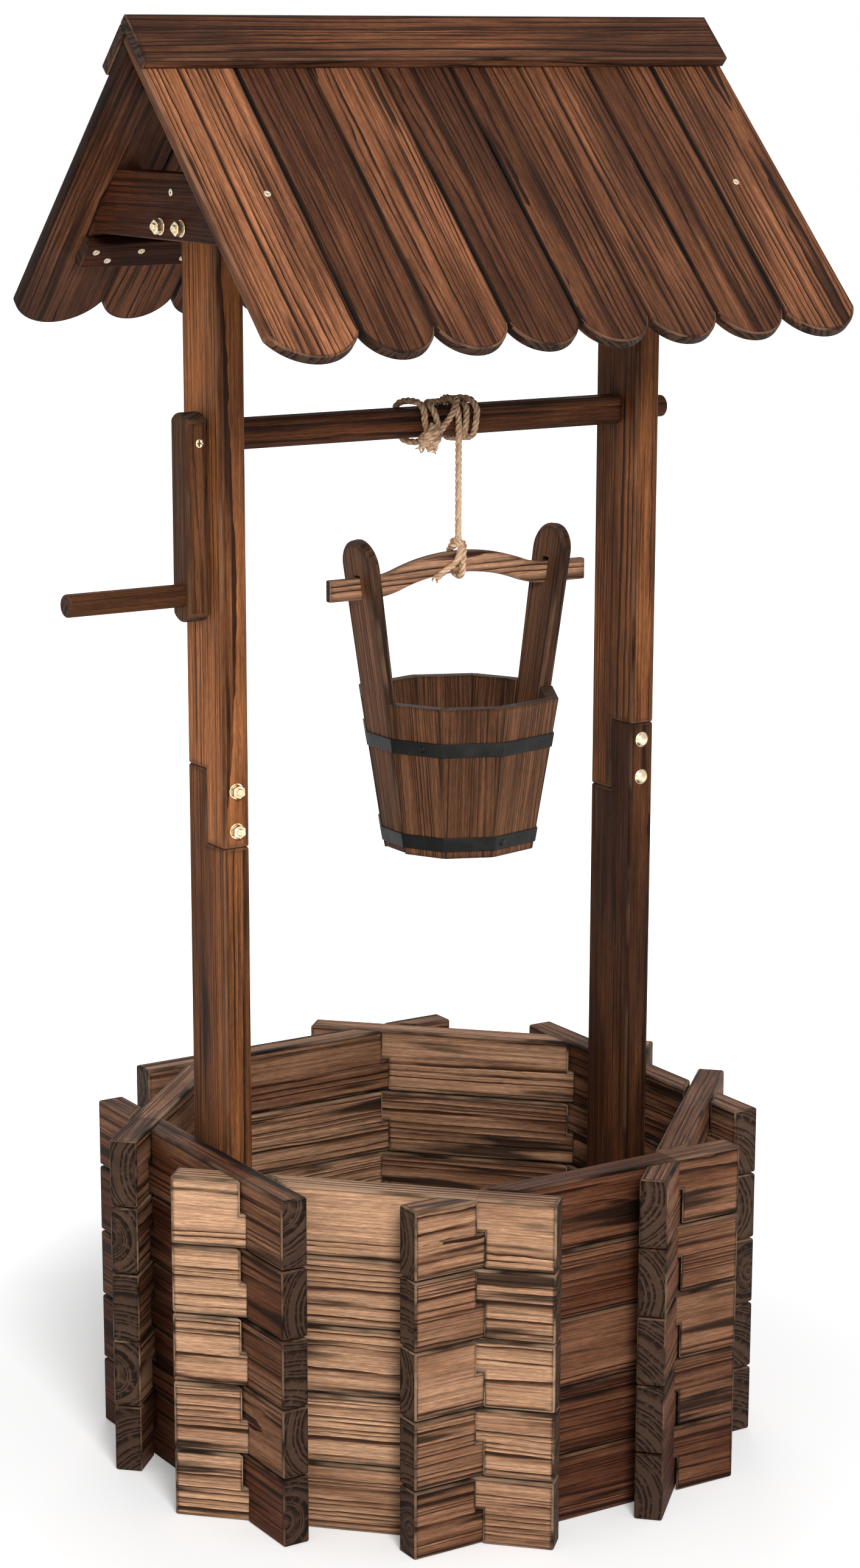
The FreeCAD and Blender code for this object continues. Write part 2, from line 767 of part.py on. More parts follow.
def tall_stave(side):
    """A tall stave: bevelled between its neighbours, then square-edged up to its round top."""
    rim_half = bucket_rim_apothem * math.tan(math.radians(tall_stave_angle))
    top_half = tall_stave_top_width / 2
    rise = tall_stave_rise / math.cos(stave_lean)
    base = V(bucket_rim_apothem, 0, rim_height)
    up = V(math.sin(stave_lean), 0, math.cos(stave_lean))
    across = Y_AXIS
    inwards = V(-math.cos(stave_lean), 0, math.sin(stave_lean)) * stave_thickness
    shoulder = base + up * (rise - top_half)
    drop = up * -stave_thickness
    a, b = base + drop - across * rim_half, base + drop + across * rim_half
    c, d = shoulder + across * top_half, shoulder - across * top_half
    upper = plate([(a, b), (b, c), (c, base + up * rise, d), (d, a)], inwards)
    upper = upper.cut(block(0, 2 * bucket_rim_apothem, -bucket_rim_apothem, bucket_rim_apothem,
                            rim_height - 3 * stave_thickness, rim_height))
    lower = bucket_wedge(-tall_stave_angle, tall_stave_angle, 0, stave_thickness, foot_height, rim_height)
    stave = lower.fuse(upper).removeSplitter()
    half = bail_thickness / 2 + bail_slot_side
    slot = block(0, bail_length, -half, half, bail_end_bottom, bail_end_bottom + bail_height + bail_slot_top)
    stave = stave.cut(slot).cut(croze())
    return turned(stave, 0 if side == "right" else 180)


def bottom_level():
    return foot_height + bottom_inset


def croze():
    """The groove round the inside that holds the bottom: it rests on the groove's lower edge."""
    z = bottom_level()
    reach = stave_thickness / math.cos(stave_lean) - croze_depth
    return bucket_polygon(z, z + bottom_thickness + croze_clearance, reach)


def bucket_base():
    reach = stave_thickness / math.cos(stave_lean) - croze_depth + croze_clearance
    return bucket_polygon(bottom_level(), bottom_level() + bottom_thickness, reach)


def hoop(z0):
    """A flat steel band that lies on the staves, mitred at each corner of the bucket."""
    ring = None
    for middle, low, high, tall in bucket_sides():
        piece = turned(bucket_wedge(low, high, hoop_thickness, hoop_thickness, z0, z0 + hoop_height), middle)
        ring = piece if ring is None else ring.fuse(piece)
    return ring.removeSplitter()


def bail():
    """A flat bar, straight where it passes through the tall staves and bowed up between them."""
    y = -bail_thickness / 2
    half = bail_height / 2
    low = bail_end_bottom + half
    turn = 2 * math.atan2(bail_rise, bail_flat_half)
    hollow = bail_sweep_in / math.sin(turn)
    crown = (bail_flat_half - bail_sweep_in) / math.sin(turn)
    top = low + bail_rise

    def edge_points(offset, side):
        """Points of one long edge, end to middle: the end, three on the hollow, two on the crown."""
        centre_low = V(-side * bail_flat_half, y, low + hollow)
        centre_top = V(0, y, top - crown)
        low_radius = hollow - offset
        top_radius = crown + offset

        def ray(centre, radius, angle, direction):
            return centre + V(side * math.sin(angle) * radius, 0, direction * math.cos(angle) * radius)

        return [V(-side * bail_length / 2, y, low + offset), ray(centre_low, low_radius, 0, -1),
                ray(centre_low, low_radius, turn / 2, -1), ray(centre_low, low_radius, turn, -1),
                ray(centre_top, top_radius, -turn / 2, 1), V(0, y, top + offset)]

    outline = []
    for offset, order in ((half, 1), (-half, -1)):
        for side in (order, -order):
            end, start, bend, swap, rise, peak = edge_points(offset, side)
            pieces = [(end, start), (start, bend, swap), (swap, rise, peak)]
            if side != order:
                pieces = [tuple(reversed(p)) for p in reversed(pieces)]
            outline.extend(pieces)
        far = bail_length / 2 * order
        outline.append((V(far, y, low + offset), V(far, y, low - offset)))
    return eased(plate(outline, V(0, bail_thickness, 0)), Y_AXIS, bail_arris)


def bail_knot():
    """The knot on top of the bail, the loop round it and the loose tail in front."""
    radius = rope_diameter / 2
    seat = bail_top + knot_clearance
    foot, crown = V(0, 0, seat), V(0, 0, seat + knot_height)
    lump = prism(foot, crown, 2 * knot_radius, fastener_sides)
    lump = bevelled(bevelled(lump, foot, Z_AXIS, knot_foot_bevel), crown, Z_AXIS, knot_top_bevel)
    inside = bail_thickness / 2 + knot_clearance
    outside = inside + rope_diameter
    under = bail_top - bail_height - knot_clearance
    loop = block(-radius, radius, -outside, outside, under - rope_diameter, seat + rope_diameter)
    loop = eased(eased(eased(loop, X_AXIS, knot_bend), Y_AXIS, knot_ease), Z_AXIS, knot_ease)
    loop = loop.cut(block(-radius, radius, -inside, inside, under, seat))
    middle = bail_top - bail_height / 2
    tail = prism(V(0, -inside - radius, middle), V(-knot_tail_reach, -outside, middle - knot_tail_drop),
                 rope_diameter, rope_sides)
    return lump.fuse([loop, tail]).removeSplitter()


def bucket_nodes():
    def hung(shape):
        return moved(shape, x=rope_x, y=rope_y)

    shorts = []
    for middle, low, high, tall in bucket_sides():
        if not tall:
            stave = bucket_wedge(low, high, 0, stave_thickness, foot_height, rim_height)
            shorts.append(turned(stave, middle).cut(croze()))
    write("bucket_staves", hung(Part.makeCompound(shorts)))
    for side in ("left", "right"):
        write("tall_stave_%s" % side, hung(tall_stave(side)))
    write("bucket_bottom", hung(bucket_base()))
    write("hoop_upper", hung(hoop(rim_height - upper_hoop_drop)))
    write("hoop_lower", hung(hoop(foot_height + lower_hoop_rise)))
    write("bucket_bail", hung(bail()))
    write("bail_knot", hung(bail_knot()))


def rope_nodes():
    radius = rope_diameter / 2
    foot = V(rope_x, rope_y, knot_top + knot_gap)
    pivot = foot + Z_AXIS * radius
    upper = pivot + Z_AXIS * rope_end_length
    end = prism(foot, upper, rope_diameter, fastener_sides)
    write("rope_end", bevelled(end, foot, Z_AXIS, rope_end_bevel))
    top = V(rope_x, rope_y, axle_height - rope_diameter)
    write("hanging_rope", rod(upper, top, rope_diameter))
    print("hanging rope: %.1f mm, pivot of the knot at z %.2f" % ((top - upper).Length, pivot.z))


os.makedirs("parts", exist_ok=True)
wall_nodes()
floor_nodes()
post_nodes()
roof_nodes()
windlass_nodes()
rope_nodes()
bucket_nodes()
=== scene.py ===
# %% [markdown]
# # A wishing well planter
# The real object is a garden kit of burnt and brushed softwood: an octagonal planter of half-lapped boards, two
# bolted posts, a gabled roof of round-ended boards, a windlass with a crank, and a coopered bucket on a rope.
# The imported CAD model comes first, because every piece made here takes its place and its size from it.

import random
from math import asin, atan2, copysign, cos, hypot, pi, radians, sin, sqrt, tan, tau

import bmesh
import bpy
from mathutils import Matrix, Vector
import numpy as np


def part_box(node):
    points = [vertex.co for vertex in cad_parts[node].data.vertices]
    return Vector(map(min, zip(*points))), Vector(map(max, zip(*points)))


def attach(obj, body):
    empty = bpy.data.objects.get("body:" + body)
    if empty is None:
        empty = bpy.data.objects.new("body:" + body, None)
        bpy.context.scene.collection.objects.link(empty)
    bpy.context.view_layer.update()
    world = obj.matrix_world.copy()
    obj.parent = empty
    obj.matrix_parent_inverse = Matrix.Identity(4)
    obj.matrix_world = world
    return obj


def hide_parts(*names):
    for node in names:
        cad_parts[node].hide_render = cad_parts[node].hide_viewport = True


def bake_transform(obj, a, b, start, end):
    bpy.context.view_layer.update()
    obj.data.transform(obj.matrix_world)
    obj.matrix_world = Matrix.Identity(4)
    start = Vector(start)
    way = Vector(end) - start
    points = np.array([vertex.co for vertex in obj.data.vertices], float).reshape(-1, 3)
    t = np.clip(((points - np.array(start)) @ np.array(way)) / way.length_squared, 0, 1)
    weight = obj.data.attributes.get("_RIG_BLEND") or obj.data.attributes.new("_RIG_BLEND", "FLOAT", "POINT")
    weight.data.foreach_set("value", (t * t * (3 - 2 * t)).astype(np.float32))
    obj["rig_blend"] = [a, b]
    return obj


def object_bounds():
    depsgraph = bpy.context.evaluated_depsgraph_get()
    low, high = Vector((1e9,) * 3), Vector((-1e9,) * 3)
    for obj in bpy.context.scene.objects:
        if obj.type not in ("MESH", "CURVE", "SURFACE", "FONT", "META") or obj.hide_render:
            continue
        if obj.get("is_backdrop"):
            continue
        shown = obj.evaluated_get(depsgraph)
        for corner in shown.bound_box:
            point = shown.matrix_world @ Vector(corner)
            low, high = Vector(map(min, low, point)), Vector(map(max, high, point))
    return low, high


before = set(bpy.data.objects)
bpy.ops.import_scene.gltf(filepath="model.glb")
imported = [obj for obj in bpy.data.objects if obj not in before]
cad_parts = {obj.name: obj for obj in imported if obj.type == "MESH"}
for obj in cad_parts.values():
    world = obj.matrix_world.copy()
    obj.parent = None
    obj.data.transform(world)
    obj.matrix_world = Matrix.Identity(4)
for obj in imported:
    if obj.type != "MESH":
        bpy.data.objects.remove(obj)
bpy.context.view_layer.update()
mm = 0.001
X, Y, Z = Vector((1, 0, 0)), Vector((0, 1, 0)), Vector((0, 0, 1))

# %% [markdown]
# ## Camera
# The picture was taken from the front and left, a little above the axle, with a long lens. The place and the turn
# of the camera were fitted to the corners of the octagon, the posts and the roof. The lens looks level with a row
# below the picture's middle, so it is shifted a little.

# %% Camera
image_high = 2576                       # pixels, the long side
focal = 5689.35                         # pixels
centre_row = 1482.3                     # row that the lens points at
yaw, pitch, roll = (radians(a) for a in (-32.25, -14.1, 0.13))
camera_place = (-1.4798, -2.3496, 1.1590)

camera_data = bpy.data.cameras.new("camera")
camera_data.sensor_width = 36.0
camera_data.lens = focal / image_high * camera_data.sensor_width
camera_data.shift_y = (centre_row - image_high / 2) / image_high
camera_data.clip_start, camera_data.clip_end = 0.05, 50.0
camera = bpy.data.objects.new("camera", camera_data)
bpy.context.scene.collection.objects.link(camera)
camera.matrix_world = Matrix.Translation(camera_place)
for angle, axis in ((yaw, "Z"), (pi / 2 + pitch, "X"), (roll, "Z")):
    camera.matrix_world = camera.matrix_world @ Matrix.Rotation(angle, 4, axis)
bpy.context.scene.camera = camera
bpy.context.scene.view_settings.view_transform = "Standard"
print("camera: lens %.1f mm, shift %.4f" % (camera_data.lens, camera_data.shift_y))

# %% [markdown]
# ## Sizes
# The frame's boxes give the sizes that the new pieces share with the CAD. A name says which piece a size is of.

# %% Sizes from the frame
wall_low, wall_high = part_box("wall_front")
axle_low, axle_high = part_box("axle")
post_low, post_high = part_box("lower_post_left")
upper_low, upper_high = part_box("upper_post_left")
roof_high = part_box("roof_front_board_1")[1]
fall_low, fall_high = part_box("hanging_rope")
bail_low, bail_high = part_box("bucket_bail")
stave_low, stave_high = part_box("bucket_staves")
collar_low, collar_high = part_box("collar_left")
crank_low, crank_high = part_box("crank_arm")

wall_faces, wall_courses = 8, 5
wall_apothem, wall_inner = -wall_low.y, -wall_high.y
wall_board_high = wall_high.z / wall_courses
wall_half = wall_high.x
post_thick = post_high.x - post_low.x
post_x = -(post_low.x + post_high.x) / 2
post_half = post_high.y
lap_low, lap_high = upper_low.z, post_high.z
ridge_z = roof_high.z
board_thick = 9 * mm                     # a roof board
axle_side = 23 * mm
axle_z = (axle_low.z + axle_high.z) / 2
rope_x, rope_y = (fall_low.x + fall_high.x) / 2, (fall_low.y + fall_high.y) / 2
rope_wide = fall_high.x - fall_low.x
bucket_foot, bucket_rim = stave_low.z, stave_high.z
print("wall board %.1f mm high, post %.1f mm thick, rope %.1f mm" %
      (wall_board_high / mm, post_thick / mm, rope_wide / mm))

# %% [markdown]
# ## Node helpers
# Materials are built by script, so short helpers that add a node, fill its inputs and return its output keep each
# material readable. An input takes a constant or the output of another node.

# %% Node helpers
def fill(tree, node, **values):
    """Gives sockets a constant or the output of another node. Sockets by number are called n0, n1 and so on."""
    for name, value in values.items():
        numbered = name[0] == "n" and name[1:].isdigit()
        socket = node.inputs[int(name[1:]) if numbered else name.replace("_", " ")]
        if isinstance(value, bpy.types.NodeSocket):
            tree.links.new(value, socket)
        else:
            socket.default_value = value
    return node


def add_node(tree, kind, settings=None, **inputs):
    """A new node, with settings for its own properties and values for its inputs."""
    made = tree.nodes.new(kind)
    for name, value in (settings or {}).items():
        setattr(made, name, value)
    return fill(tree, made, **inputs)


def calc(tree, operation, a, b=0.0, clamp=False):
    return add_node(tree, "ShaderNodeMath", {"operation": operation, "use_clamp": clamp}, n0=a, n1=b).outputs[0]


def vector_calc(tree, operation, a, b=(0, 0, 0), output="Vector"):
    return add_node(tree, "ShaderNodeVectorMath", {"operation": operation}, n0=a, n1=b).outputs[output]


def mix_colour(tree, factor, a, b, blend="MIX"):
    return add_node(tree, "ShaderNodeMix", {"data_type": "RGBA", "blend_type": blend}, n0=factor, n6=a,
                    n7=b).outputs[2]


def span(tree, value, low, high, to_low=0.0, to_high=1.0):
    """The value mapped smoothly from low..high to to_low..to_high."""
    return add_node(tree, "ShaderNodeMapRange", {"interpolation_type": "SMOOTHSTEP"}, Value=value, From_Min=low,
                    From_Max=high, To_Min=to_low, To_Max=to_high).outputs[0]


def noise(tree, place, scale, detail=2.0, rough=0.5, output="Fac"):
    return add_node(tree, "ShaderNodeTexNoise", Vector=place, Scale=scale, Detail=detail,
                    Roughness=rough).outputs[output]


def bump(tree, strength, distance, height):
    return add_node(tree, "ShaderNodeBump", Strength=strength, Distance=distance, Height=height).outputs[0]


def attribute(tree, name, output="Vector"):
    return add_node(tree, "ShaderNodeAttribute", {"attribute_name": name}).outputs[output]


def object_place(tree):
    return add_node(tree, "ShaderNodeTexCoord").outputs["Object"]


def new_group(name, inputs, outputs):
    """An empty shader group with sockets: their names, types and defaults."""
    group = bpy.data.node_groups.new(name, "ShaderNodeTree")
    for side, sockets in (("INPUT", inputs), ("OUTPUT", outputs)):
        for socket_name, kind, *default in sockets:
            socket = group.interface.new_socket(socket_name, in_out=side, socket_type="NodeSocket" + kind)
            if default:
                socket.default_value = default[0]
    return group, group.nodes.new("NodeGroupInput").outputs, group.nodes.new("NodeGroupOutput").inputs


def new_material(name):
    material = bpy.data.materials.new(name)
    material.use_nodes = True
    tree = material.node_tree
    return material, tree, tree.nodes["Principled BSDF"]


print("node helpers ready")

# %% [markdown]
# ## Burnt wood
# The boards are softwood, burnt with a flame and then brushed. The soft early wood wears away pale, the hard late
# wood stays as dark ridges, the flame leaves black tongues along the grain and it bites deepest at the edges. A
# board is cut from a trunk, so the rings are worked out in three dimensions round the trunk's heart, from each
# board's own coordinates. Long faces then show lines and arches and ends show arcs, as sawn wood does.
# The attribute "grain" is the place in the trunk, "marks" holds wear, end grain and the board's tone, and "rim"
# rises to 1 at a board's edges.

# %% Burnt wood, the shared group
def burnt_wood_group():
    colours = {"Early": (0.36, 0.19, 0.10, 1), "Toast": (0.14, 0.06, 0.03, 1), "Late": (0.06, 0.03, 0.015, 1),
               "Char": (0.02, 0.01, 0.007, 1), "Worn": (0.45, 0.27, 0.16, 1), "Stain": (0.30, 0.19, 0.15, 1)}
    numbers = {"Rings": 220.0, "Ring Strength": 1.0, "Toasted": 0.5, "Burn": 0.4, "Rim Burn": 0.4, "Wear": 0.7,
               "Sway": 0.02}
    group, given, result = new_group(
        "burnt_wood", [("Place", "Vector"), ("Marks", "Vector"), ("Rim", "Float", 0.0)]
        + [(n, "Color", c) for n, c in colours.items()] + [(n, "Float", v) for n, v in numbers.items()],
        [("Color", "Color"), ("Height", "Float"), ("Roughness", "Float")])
    arris, end_grain, tone = add_node(group, "ShaderNodeSeparateXYZ", Vector=given["Marks"]).outputs

    def add(a, b):
        return calc(group, "ADD", a, b)

    def times(*factors):
        product = factors[0]
        for factor in factors[1:]:
            product = calc(group, "MULTIPLY", product, factor)
        return product

    def clamped(a, b):
        return calc(group, "MULTIPLY", a, b, clamp=True)

    def along_grain(share, *settings, place=given["Place"], **output):
        """Noise on a place that is squeezed along the grain, so that its pattern is long and narrow."""
        squeezed = vector_calc(group, "MULTIPLY", place, (share, 1, 1))
        return noise(group, squeezed, *settings, **output)

    def bend(place, share, scale, detail, by):
        """The place moved aside by noise."""
        wave = vector_calc(group, "SUBTRACT", along_grain(share, scale, detail, output="Color"), (0.5, 0.5, 0.5))
        return vector_calc(group, "ADD", place, vector_calc(group, "MULTIPLY", wave, by))

    # Rings: distance from the heart, bent by slow and by fine noise, in rings of uneven width
    reach = add_node(group, "ShaderNodeCombineXYZ", X=0.0, Y=given["Sway"], Z=given["Sway"]).outputs[0]
    bent = bend(given["Place"], 0.16, 14.0, 1.0, reach)
    bent = bend(bent, 0.22, 110.0, 2.0, (0, 0.0020, 0.0020))
    radius = vector_calc(group, "LENGTH", vector_calc(group, "MULTIPLY", bent, (0, 1, 1)), output="Value")
    uneven = add_node(group, "ShaderNodeTexNoise", {"noise_dimensions": "1D"}, W=radius, Scale=75.0,
                      Detail=1.0).outputs["Fac"]
    ring = calc(group, "FRACT", add(times(radius, given["Rings"]), times(uneven, 4.0)))
    bold = span(group, along_grain(0.03, 210.0), 0.33, 0.57, 0.25, 1.0)
    band = clamped(times(span(group, ring, 0.25, 0.95), bold), given["Ring Strength"])
    late = times(band, band, span(group, ring, 0.62, 0.90))

    # Early wood, toasted in patches, and late wood, both shaded fibre by fibre
    heat = calc(group, "SUBTRACT", add(along_grain(0.22, 26.0, 3.0, 0.55), given["Toasted"]), times(tone, 0.5))
    colour = given["Early"]
    for factor, name in ((span(group, heat, 0.42, 1.0), "Toast"), (times(band, 0.5), "Toast"), (late, "Late")):
        colour = mix_colour(group, factor, colour, given[name])
    streaks = along_grain(0.018, 560.0, 3.0, 0.7)
    fibres = along_grain(0.06, 2100.0, 2.0, 0.6)
    shade = times(span(group, streaks, 0.32, 0.68, 1.32, 0.62), span(group, fibres, 0.32, 0.68, 0.74, 1.24))
    grey = add_node(group, "ShaderNodeCombineColor", Red=shade, Green=shade, Blue=shade).outputs[0]
    colour = mix_colour(group, 1.0, colour, grey, "MULTIPLY")

    # Tongues of char along the grain, the burnt rim, partly painted gap shade, and the rubbed arris
    threshold = calc(group, "SUBTRACT", 0.78, times(given["Burn"], 0.28))
    burnt = clamped(calc(group, "SUBTRACT", along_grain(0.07, 72.0, place=bent), threshold), 11.0)
    ragged = span(group, along_grain(0.2, 45.0), 0.3, 0.65, 0.5, 1.0)
    rim = clamped(times(given["Rim"], given["Rim"], ragged), given["Rim Burn"])
    rubbed = clamped(times(arris, span(group, along_grain(0.4, 45.0), 0.35, 0.62)), given["Wear"])
    for factor, name in ((times(burnt, 0.88), "Char"), (rim, "Char"), (rubbed, "Worn")):
        colour = mix_colour(group, factor, colour, given[name])

    # The stain by the board's tone, and the sawn end with its arcs
    colour = mix_colour(group, 1.0, colour, mix_colour(group, tone, given["Stain"], (1, 1, 1, 1)), "MULTIPLY")
    sawn_end = mix_colour(group, band, (0.062, 0.037, 0.025, 1), (0.012, 0.007, 0.005, 1))
    colour = mix_colour(group, times(end_grain, 0.88), colour, sawn_end)
    for socket, value in (("Color", colour), ("Height", add(times(band, 0.9), times(fibres, 0.5))),
                          ("Roughness", add(0.48, times(streaks, 0.3)))):
        group.links.new(value, result[socket])
    return group


burnt_wood = burnt_wood_group()
print("burnt_wood group:", len(burnt_wood.nodes), "nodes")

# %% [markdown]
# ## Finishes of the wood
# One group serves every timber, and each part of the planter has its own values: the wall is brushed pale, the
# posts and the roof are reddish, the axle, the crank and the bucket are dark brown.

# %% Wood finishes
char = (0.017, 0.010, 0.007)
beside_heart = (0.3, 0.021, 0.037)       # where a plain sawn bar lies in its trunk
wood_sockets = ("Early", "Toast", "Late", "Worn", "Stain", "Rings", "Ring Strength", "Toasted", "Burn", "Rim Burn",
                "Wear", "Sway")
plain_stain = (0.30, 0.22, 0.19)
wood_values = {                          # in the order of the sockets
    # The wall's strong rim burn is partly real char and partly painted shade of the gaps between courses.
    "wall": ((0.56, 0.325, 0.190), (0.19, 0.074, 0.034), (0.050, 0.021, 0.011), (0.66, 0.44, 0.28),
             (0.28, 0.165, 0.130), 200, 1.35, 0.40, 0.72, 1.1, 0.5, 0.014),
    "roof": ((0.49, 0.190, 0.085), (0.120, 0.045, 0.022), (0.030, 0.012, 0.007), (0.40, 0.20, 0.115),
             (0.30, 0.28, 0.29), 210, 1.2, 0.50, 0.48, 1.0, 0.6, 0.02),
    "post": ((0.56, 0.205, 0.070), (0.120, 0.042, 0.017), (0.045, 0.017, 0.008), (0.42, 0.22, 0.12),
             (0.20, 0.19, 0.20), 240, 1, 0.40, 0.55, 0.6, 0.5, 0.012),
    "gable": ((0.26, 0.070, 0.024), (0.070, 0.021, 0.008), (0.028, 0.010, 0.005), (0.26, 0.12, 0.065), plain_stain,
              200, 1, 0.5, 0.4, 0.4, 0.6, 0.02),
    "crank": ((0.26, 0.108, 0.042), (0.112, 0.046, 0.019), (0.055, 0.023, 0.010), (0.22, 0.12, 0.07), plain_stain,
              220, 1, 0.5, 0.35, 0.5, 0.5, 0.01),
    "axle": ((0.31, 0.112, 0.045), (0.115, 0.044, 0.020), (0.040, 0.018, 0.010), (0.20, 0.10, 0.06), plain_stain,
             260, 1, 0.5, 0.5, 0.6, 0.5, 0.01),
    "bucket": ((0.225, 0.100, 0.047), (0.080, 0.033, 0.016), (0.042, 0.018, 0.010), (0.26, 0.14, 0.085),
               (0.45, 0.42, 0.42), 330, 1, 0.45, 0.40, 0.8, 0.5, 0.008),
    "bail": ((0.52, 0.285, 0.170), (0.16, 0.075, 0.042), (0.050, 0.022, 0.012), (0.44, 0.27, 0.17), plain_stain,
             300, 1.2, 0.35, 0.55, 0.6, 0.5, 0.010)}
floor_values = ((0.42, 0.25, 0.15), (0.20, 0.10, 0.055), (0.10, 0.05, 0.03), (0.4, 0.24, 0.15), plain_stain,
                220, 1, 0.4, 0.25, 0.4, 0.7, 0.02)


def wood_finish(name, values, turn=None):
    """A timber finish. It reads the piece's own grain, or for a CAD node the object's coordinates, turned."""
    material, tree, shader = new_material(name)
    if turn is None:
        place, marks, rim = attribute(tree, "grain"), attribute(tree, "marks"), attribute(tree, "rim", "Fac")
    else:
        place = add_node(tree, "ShaderNodeMapping", Vector=object_place(tree), Rotation=turn,
                         Location=beside_heart).outputs[0]
        marks = add_node(tree, "ShaderNodeCombineXYZ", X=0.0, Y=0.0, Z=0.5).outputs[0]
        rim = 0.0
    timber = add_node(tree, "ShaderNodeGroup", {"node_tree": burnt_wood}, Place=place, Marks=marks, Rim=rim,
                      Char=(*char, 1))
    for socket, value in zip(wood_sockets, values):
        timber.inputs[socket].default_value = (*value, 1) if isinstance(value, tuple) else value
    fill(tree, shader, Base_Color=timber.outputs["Color"], Roughness=timber.outputs["Roughness"],
         Normal=bump(tree, 0.9, 0.0013, timber.outputs["Height"]), Specular_IOR_Level=0.08)
    return material


wood = {name: wood_finish(name + "_wood", values) for name, values in wood_values.items()}
floor_wood_x = wood_finish("floor_wood_x", floor_values, (0, 0, 0))
floor_wood_y = wood_finish("floor_wood_y", floor_values, (0, 0, pi / 2))
print("wood finishes:", len(wood) + 2)

# %% [markdown]
# ## Metal and rope finishes
# Bolts, washers and screws are zinc plated and passivated yellow, so the plate shifts between gold and grey. The
# hoops are black painted steel, with dust and small dents. The rope is twisted jute. Each strand has fine hairs
# along it, which follow the strand's attribute "lay", and the attribute "deep" paints shade into the crevices
# between strands, darkening them.

# %% Metal and rope finishes
def zinc_finish():
    material, tree, shader = new_material("yellow_zinc")
    place = object_place(tree)
    cloud = span(tree, noise(tree, place, 260.0, 3.0), 0.35, 0.65)
    fill(tree, shader, Base_Color=mix_colour(tree, cloud, (0.70, 0.52, 0.28, 1), (0.72, 0.66, 0.54, 1)),
         Roughness=span(tree, noise(tree, place, 900.0), 0.3, 0.7, 0.22, 0.42), Metallic=1.0)
    return material


def black_steel_finish():
    material, tree, shader = new_material("black_steel")
    place = object_place(tree)
    peel, dents = noise(tree, place, 700.0), noise(tree, place, 60.0)
    dust = span(tree, noise(tree, place, 45.0, 4.0), 0.45, 0.75)
    height = calc(tree, "ADD", calc(tree, "MULTIPLY", dents, 3.0), calc(tree, "MULTIPLY", peel, 0.3))
    fill(tree, shader, Base_Color=mix_colour(tree, dust, (0.005, 0.005, 0.005, 1), (0.016, 0.015, 0.013, 1)),
         Roughness=span(tree, peel, 0.3, 0.7, 0.30, 0.44), Specular_IOR_Level=0.12,
         Normal=bump(tree, 0.35, 0.0006, height))
    return material


def jute_finish():
    material, tree, shader = new_material("jute")
    along = attribute(tree, "lay")
    hairs = noise(tree, vector_calc(tree, "MULTIPLY", along, (160.0, 9.0, 1.0)), 1.0, 3.0, 0.65)
    patches = noise(tree, vector_calc(tree, "MULTIPLY", along, (55.0, 0.6, 1.0)), 1.0)
    colour = mix_colour(tree, span(tree, hairs, 0.3, 0.66), (0.21, 0.112, 0.056, 1), (0.70, 0.455, 0.285, 1))
    colour = mix_colour(tree, span(tree, patches, 0.4, 0.7, 0.0, 0.5), colour, (0.76, 0.54, 0.37, 1))
    # Painted shade: the crevices between strands are darkened in the colour.
    painted_crevice_shade = span(tree, attribute(tree, "deep", "Fac"), 0.25, 0.9, 0.0, 0.85)
    fill(tree, shader, Base_Color=mix_colour(tree, painted_crevice_shade, colour, (0.09, 0.035, 0.018, 1)), Roughness=0.85,
         Normal=bump(tree, 0.7, 0.0004, hairs), Specular_IOR_Level=0.2)
    return material


yellow_zinc, black_steel, jute = zinc_finish(), black_steel_finish(), jute_finish()
print("finishes:", len(bpy.data.materials))

# %% [markdown]
# ## Piece helpers
# A board starts as an outline in the XY plane, drawn corner by corner, with its arcs spun, and is then thickened.

# %% Outlines and solids
draw = random.Random(7)
merge_distance = 1e-6


def new_board():
    """An empty bmesh with the layers that the wood finish reads."""
    bm = bmesh.new()
    bm.verts.layers.float_vector.new("grain")
    bm.verts.layers.float.new("rim")
    bm.faces.layers.float_vector.new("marks")
    return bm


def verts_of(made):
    return [g for g in made if isinstance(g, bmesh.types.BMVert)]


def middle_of(face):
    return face.calc_center_median()


def outwards(bm):
    bmesh.ops.recalc_face_normals(bm, faces=bm.faces)
    return bm


def shifted(bm, by):
    bmesh.ops.translate(bm, vec=by, verts=bm.verts)
    return bm


def spun(bm, geom, centre, axis, angle, steps, **settings):
    """Spins corners, edges or faces, and returns the last ones made."""
    return bmesh.ops.spin(bm, geom=geom, cent=centre, axis=axis, angle=angle, steps=steps, use_duplicate=False,
                          **settings)["geom_last"]


def extruded(bm, faces, by):
    """Draws faces out, and returns what was made."""
    made = bmesh.ops.extrude_face_region(bm, geom=faces)["geom"]
    bmesh.ops.translate(bm, vec=by, verts=verts_of(made))
    return made


def outline(*steps):
    """A bmesh with one face. A step is a corner, or an arc from the last corner: centre, sweep, segments."""
    bm = new_board()
    first = last = None
    for step in steps:
        if len(step) == 2:
            here = bm.verts.new((*step, 0))
            if last:
                bm.edges.new((last, here))
        else:
            centre, sweep, segments = step
            here = verts_of(spun(bm, [last], (*centre, 0), Z, sweep, segments))[0]
        first, last = first or here, here
    bm.edges.new((last, first))
    bmesh.ops.contextual_create(bm, geom=bm.edges[:])
    return bm


def thickened(bm, thickness):
    extruded(bm, bm.faces[:], (0, 0, thickness))
    return outwards(bm)


def bar(x0, x1, y0, y1, z0, z1):
    return shifted(thickened(outline((x0, y0), (x1, y0), (x1, y1), (x0, y1)), z1 - z0), (0, 0, z0))


def cut(bm, at, normal):
    """A cut all through, for faces on its two sides to differ."""
    bmesh.ops.bisect_plane(bm, geom=bm.verts[:] + bm.edges[:] + bm.faces[:], plane_co=at, plane_no=normal)


def flat_arc(half, rise):
    """Radius and sweep of a flat arc from its half chord and its rise."""
    radius = (half * half + rise * rise) / (2 * rise)
    return radius, 2 * asin(half / radius)


print("outline helpers ready")

